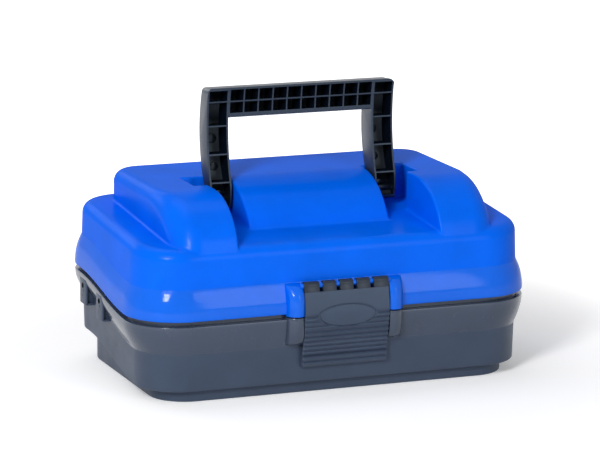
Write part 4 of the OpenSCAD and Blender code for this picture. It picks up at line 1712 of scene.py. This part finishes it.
@dataclass(frozen=True)
class SoftBox:
    """A large area lamp that looks at the middle of the box, in metres and watts."""

    name: str
    azimuth: float
    elevation: float
    distance: float
    width: float
    height: float
    power: float
    aim: Point = (0.0, 0.0, 0.08)

    def place(self) -> None:
        """Makes the lamp."""
        away = toward_viewer(self.azimuth, self.elevation)
        data = bpy.data.lights.new(self.name, "AREA")
        data.shape = "RECTANGLE"
        data.size, data.size_y = self.width, self.height
        data.energy = self.power
        lamp = place_object(self.name, data)
        lamp.location = Vector(self.aim) + away * self.distance
        lamp.rotation_euler = away.to_track_quat("Z", "Y").to_euler()


@dataclass
class Studio:
    """The white table, the soft lamps and the camera."""

    floor_size: float = 12.0
    # The floor's glow near and far from the box, and the distances in metres over which it rises;
    # the low glow near the box is painted shade.
    floor_glow: Spot = (0.22, 0.85)
    glow_reach: Spot = (0.22, 0.6)
    ambient: float = 0.25
    lamps: tuple[SoftBox, ...] = (
        SoftBox("key", 44.0, 42.0, 2.4, 0.8, 0.9, 8.0),
        SoftBox("spark", 44.0, 28.5, 2.4, 0.45, 0.62, 31.0),
        SoftBox("window", -21.0, 19.0, 2.5, 0.6, 1.5, 9.5),
        SoftBox("top", 170.0, 70.0, 2.2, 1.6, 1.2, 9.0),
        SoftBox("back", 160.0, 26.0, 2.6, 1.8, 0.8, 9.0),
    )

    def floor(self) -> None:
        """Makes the white table, which looks white and keeps the box's shadow; its glow is weaker
        near the box, which paints shade round it.
        """
        bm = bmesh.new()
        bmesh.ops.create_grid(bm, x_segments=1, y_segments=1, size=self.floor_size)
        bench = NodeBench(bpy.data.materials.new("white_table"))
        away = bench.add("ShaderNodeVectorMath", "Value", {0: bench.coordinates},
                         operation="LENGTH")
        # The glow is low near the box and rises with distance: painted shade round the box, on top
        # of its cast shadow.
        level = bench.spread(away, self.glow_reach, self.floor_glow,
                             interpolation_type="SMOOTHSTEP")
        bench.fill(bench.shader, {
            "Base Color": (0.95, 0.95, 0.96, 1.0),
            "Roughness": 0.9,
            "Specular IOR Level": 0.1,
            "Emission Color": WHITE,
            "Emission Strength": bench.maths("MULTIPLY", bench.seen(), level),
        })
        mesh_object(bm, "floor", [bench.owner])

    def sky(self) -> None:
        """Sets the world: white where it is seen, and a soft grey light elsewhere."""
        bpy.context.scene.world = bpy.data.worlds.new("studio")
        bench = NodeBench(bpy.context.scene.world, "Background")
        level = bench.spread(bench.seen(), (0.0, 1.0), (self.ambient, 1.0))
        bench.fill(bench.shader, {"Strength": level, "Color": WHITE})

    def build(self) -> None:
        """Makes the floor, the sky, the lamps and the camera."""
        self.floor()
        self.sky()
        for lamp in (*self.lamps, Lens()):
            lamp.place()
        bpy.context.scene.view_settings.view_transform = "Standard"


@dataclass
class Insides:
    """The trays, arms, links and pins, which are the CAD's own meshes."""

    finishes: Finishes
    weld_mm: float = 0.002
    sharper_than: float = 40.0

    def dress(self, node: str, finish: bpy.types.Material, edge_mm: float) -> None:
        """Gives a CAD node its finish and slightly rounded edges.

        Args:
            node: the CAD node.
            finish: its material.
            edge_mm: the radius of its edges.
        """
        piece = FRAME["nodes"][node]
        piece.data.materials.clear()
        piece.data.materials.append(finish)
        add_modifier(piece, "WELD", merge_threshold=self.weld_mm * MM)
        add_modifier(piece, "BEVEL", width=edge_mm * MM, segments=2, limit_method="ANGLE",
                     angle_limit=math.radians(self.sharper_than), harden_normals=True)

    def build(self) -> None:
        """Dresses the CAD nodes of the tray, black and steel slots, all but the handle."""
        looks = {
            Slot.TRAY: (self.finishes.tray, 0.35),
            Slot.BLACK: (self.finishes.black, 0.3),
            Slot.STEEL: (self.finishes.steel, 0.25),
        }
        for part in FRAME["record"]["subparts"]:
            slot = Slot(part["material_slot"])
            if slot in looks and part["node"] != "handle":
                self.dress(part["node"], *looks[slot])


def main() -> None:
    """Builds the studio and every piece."""
    logging.basicConfig(level=logging.INFO, format="%(message)s")
    Studio().build()
    finishes = Finishes()
    for kind in (Lid, Base, Latch, Handle, Insides):
        kind(finishes).build()


if __name__ == "__main__":
    main()
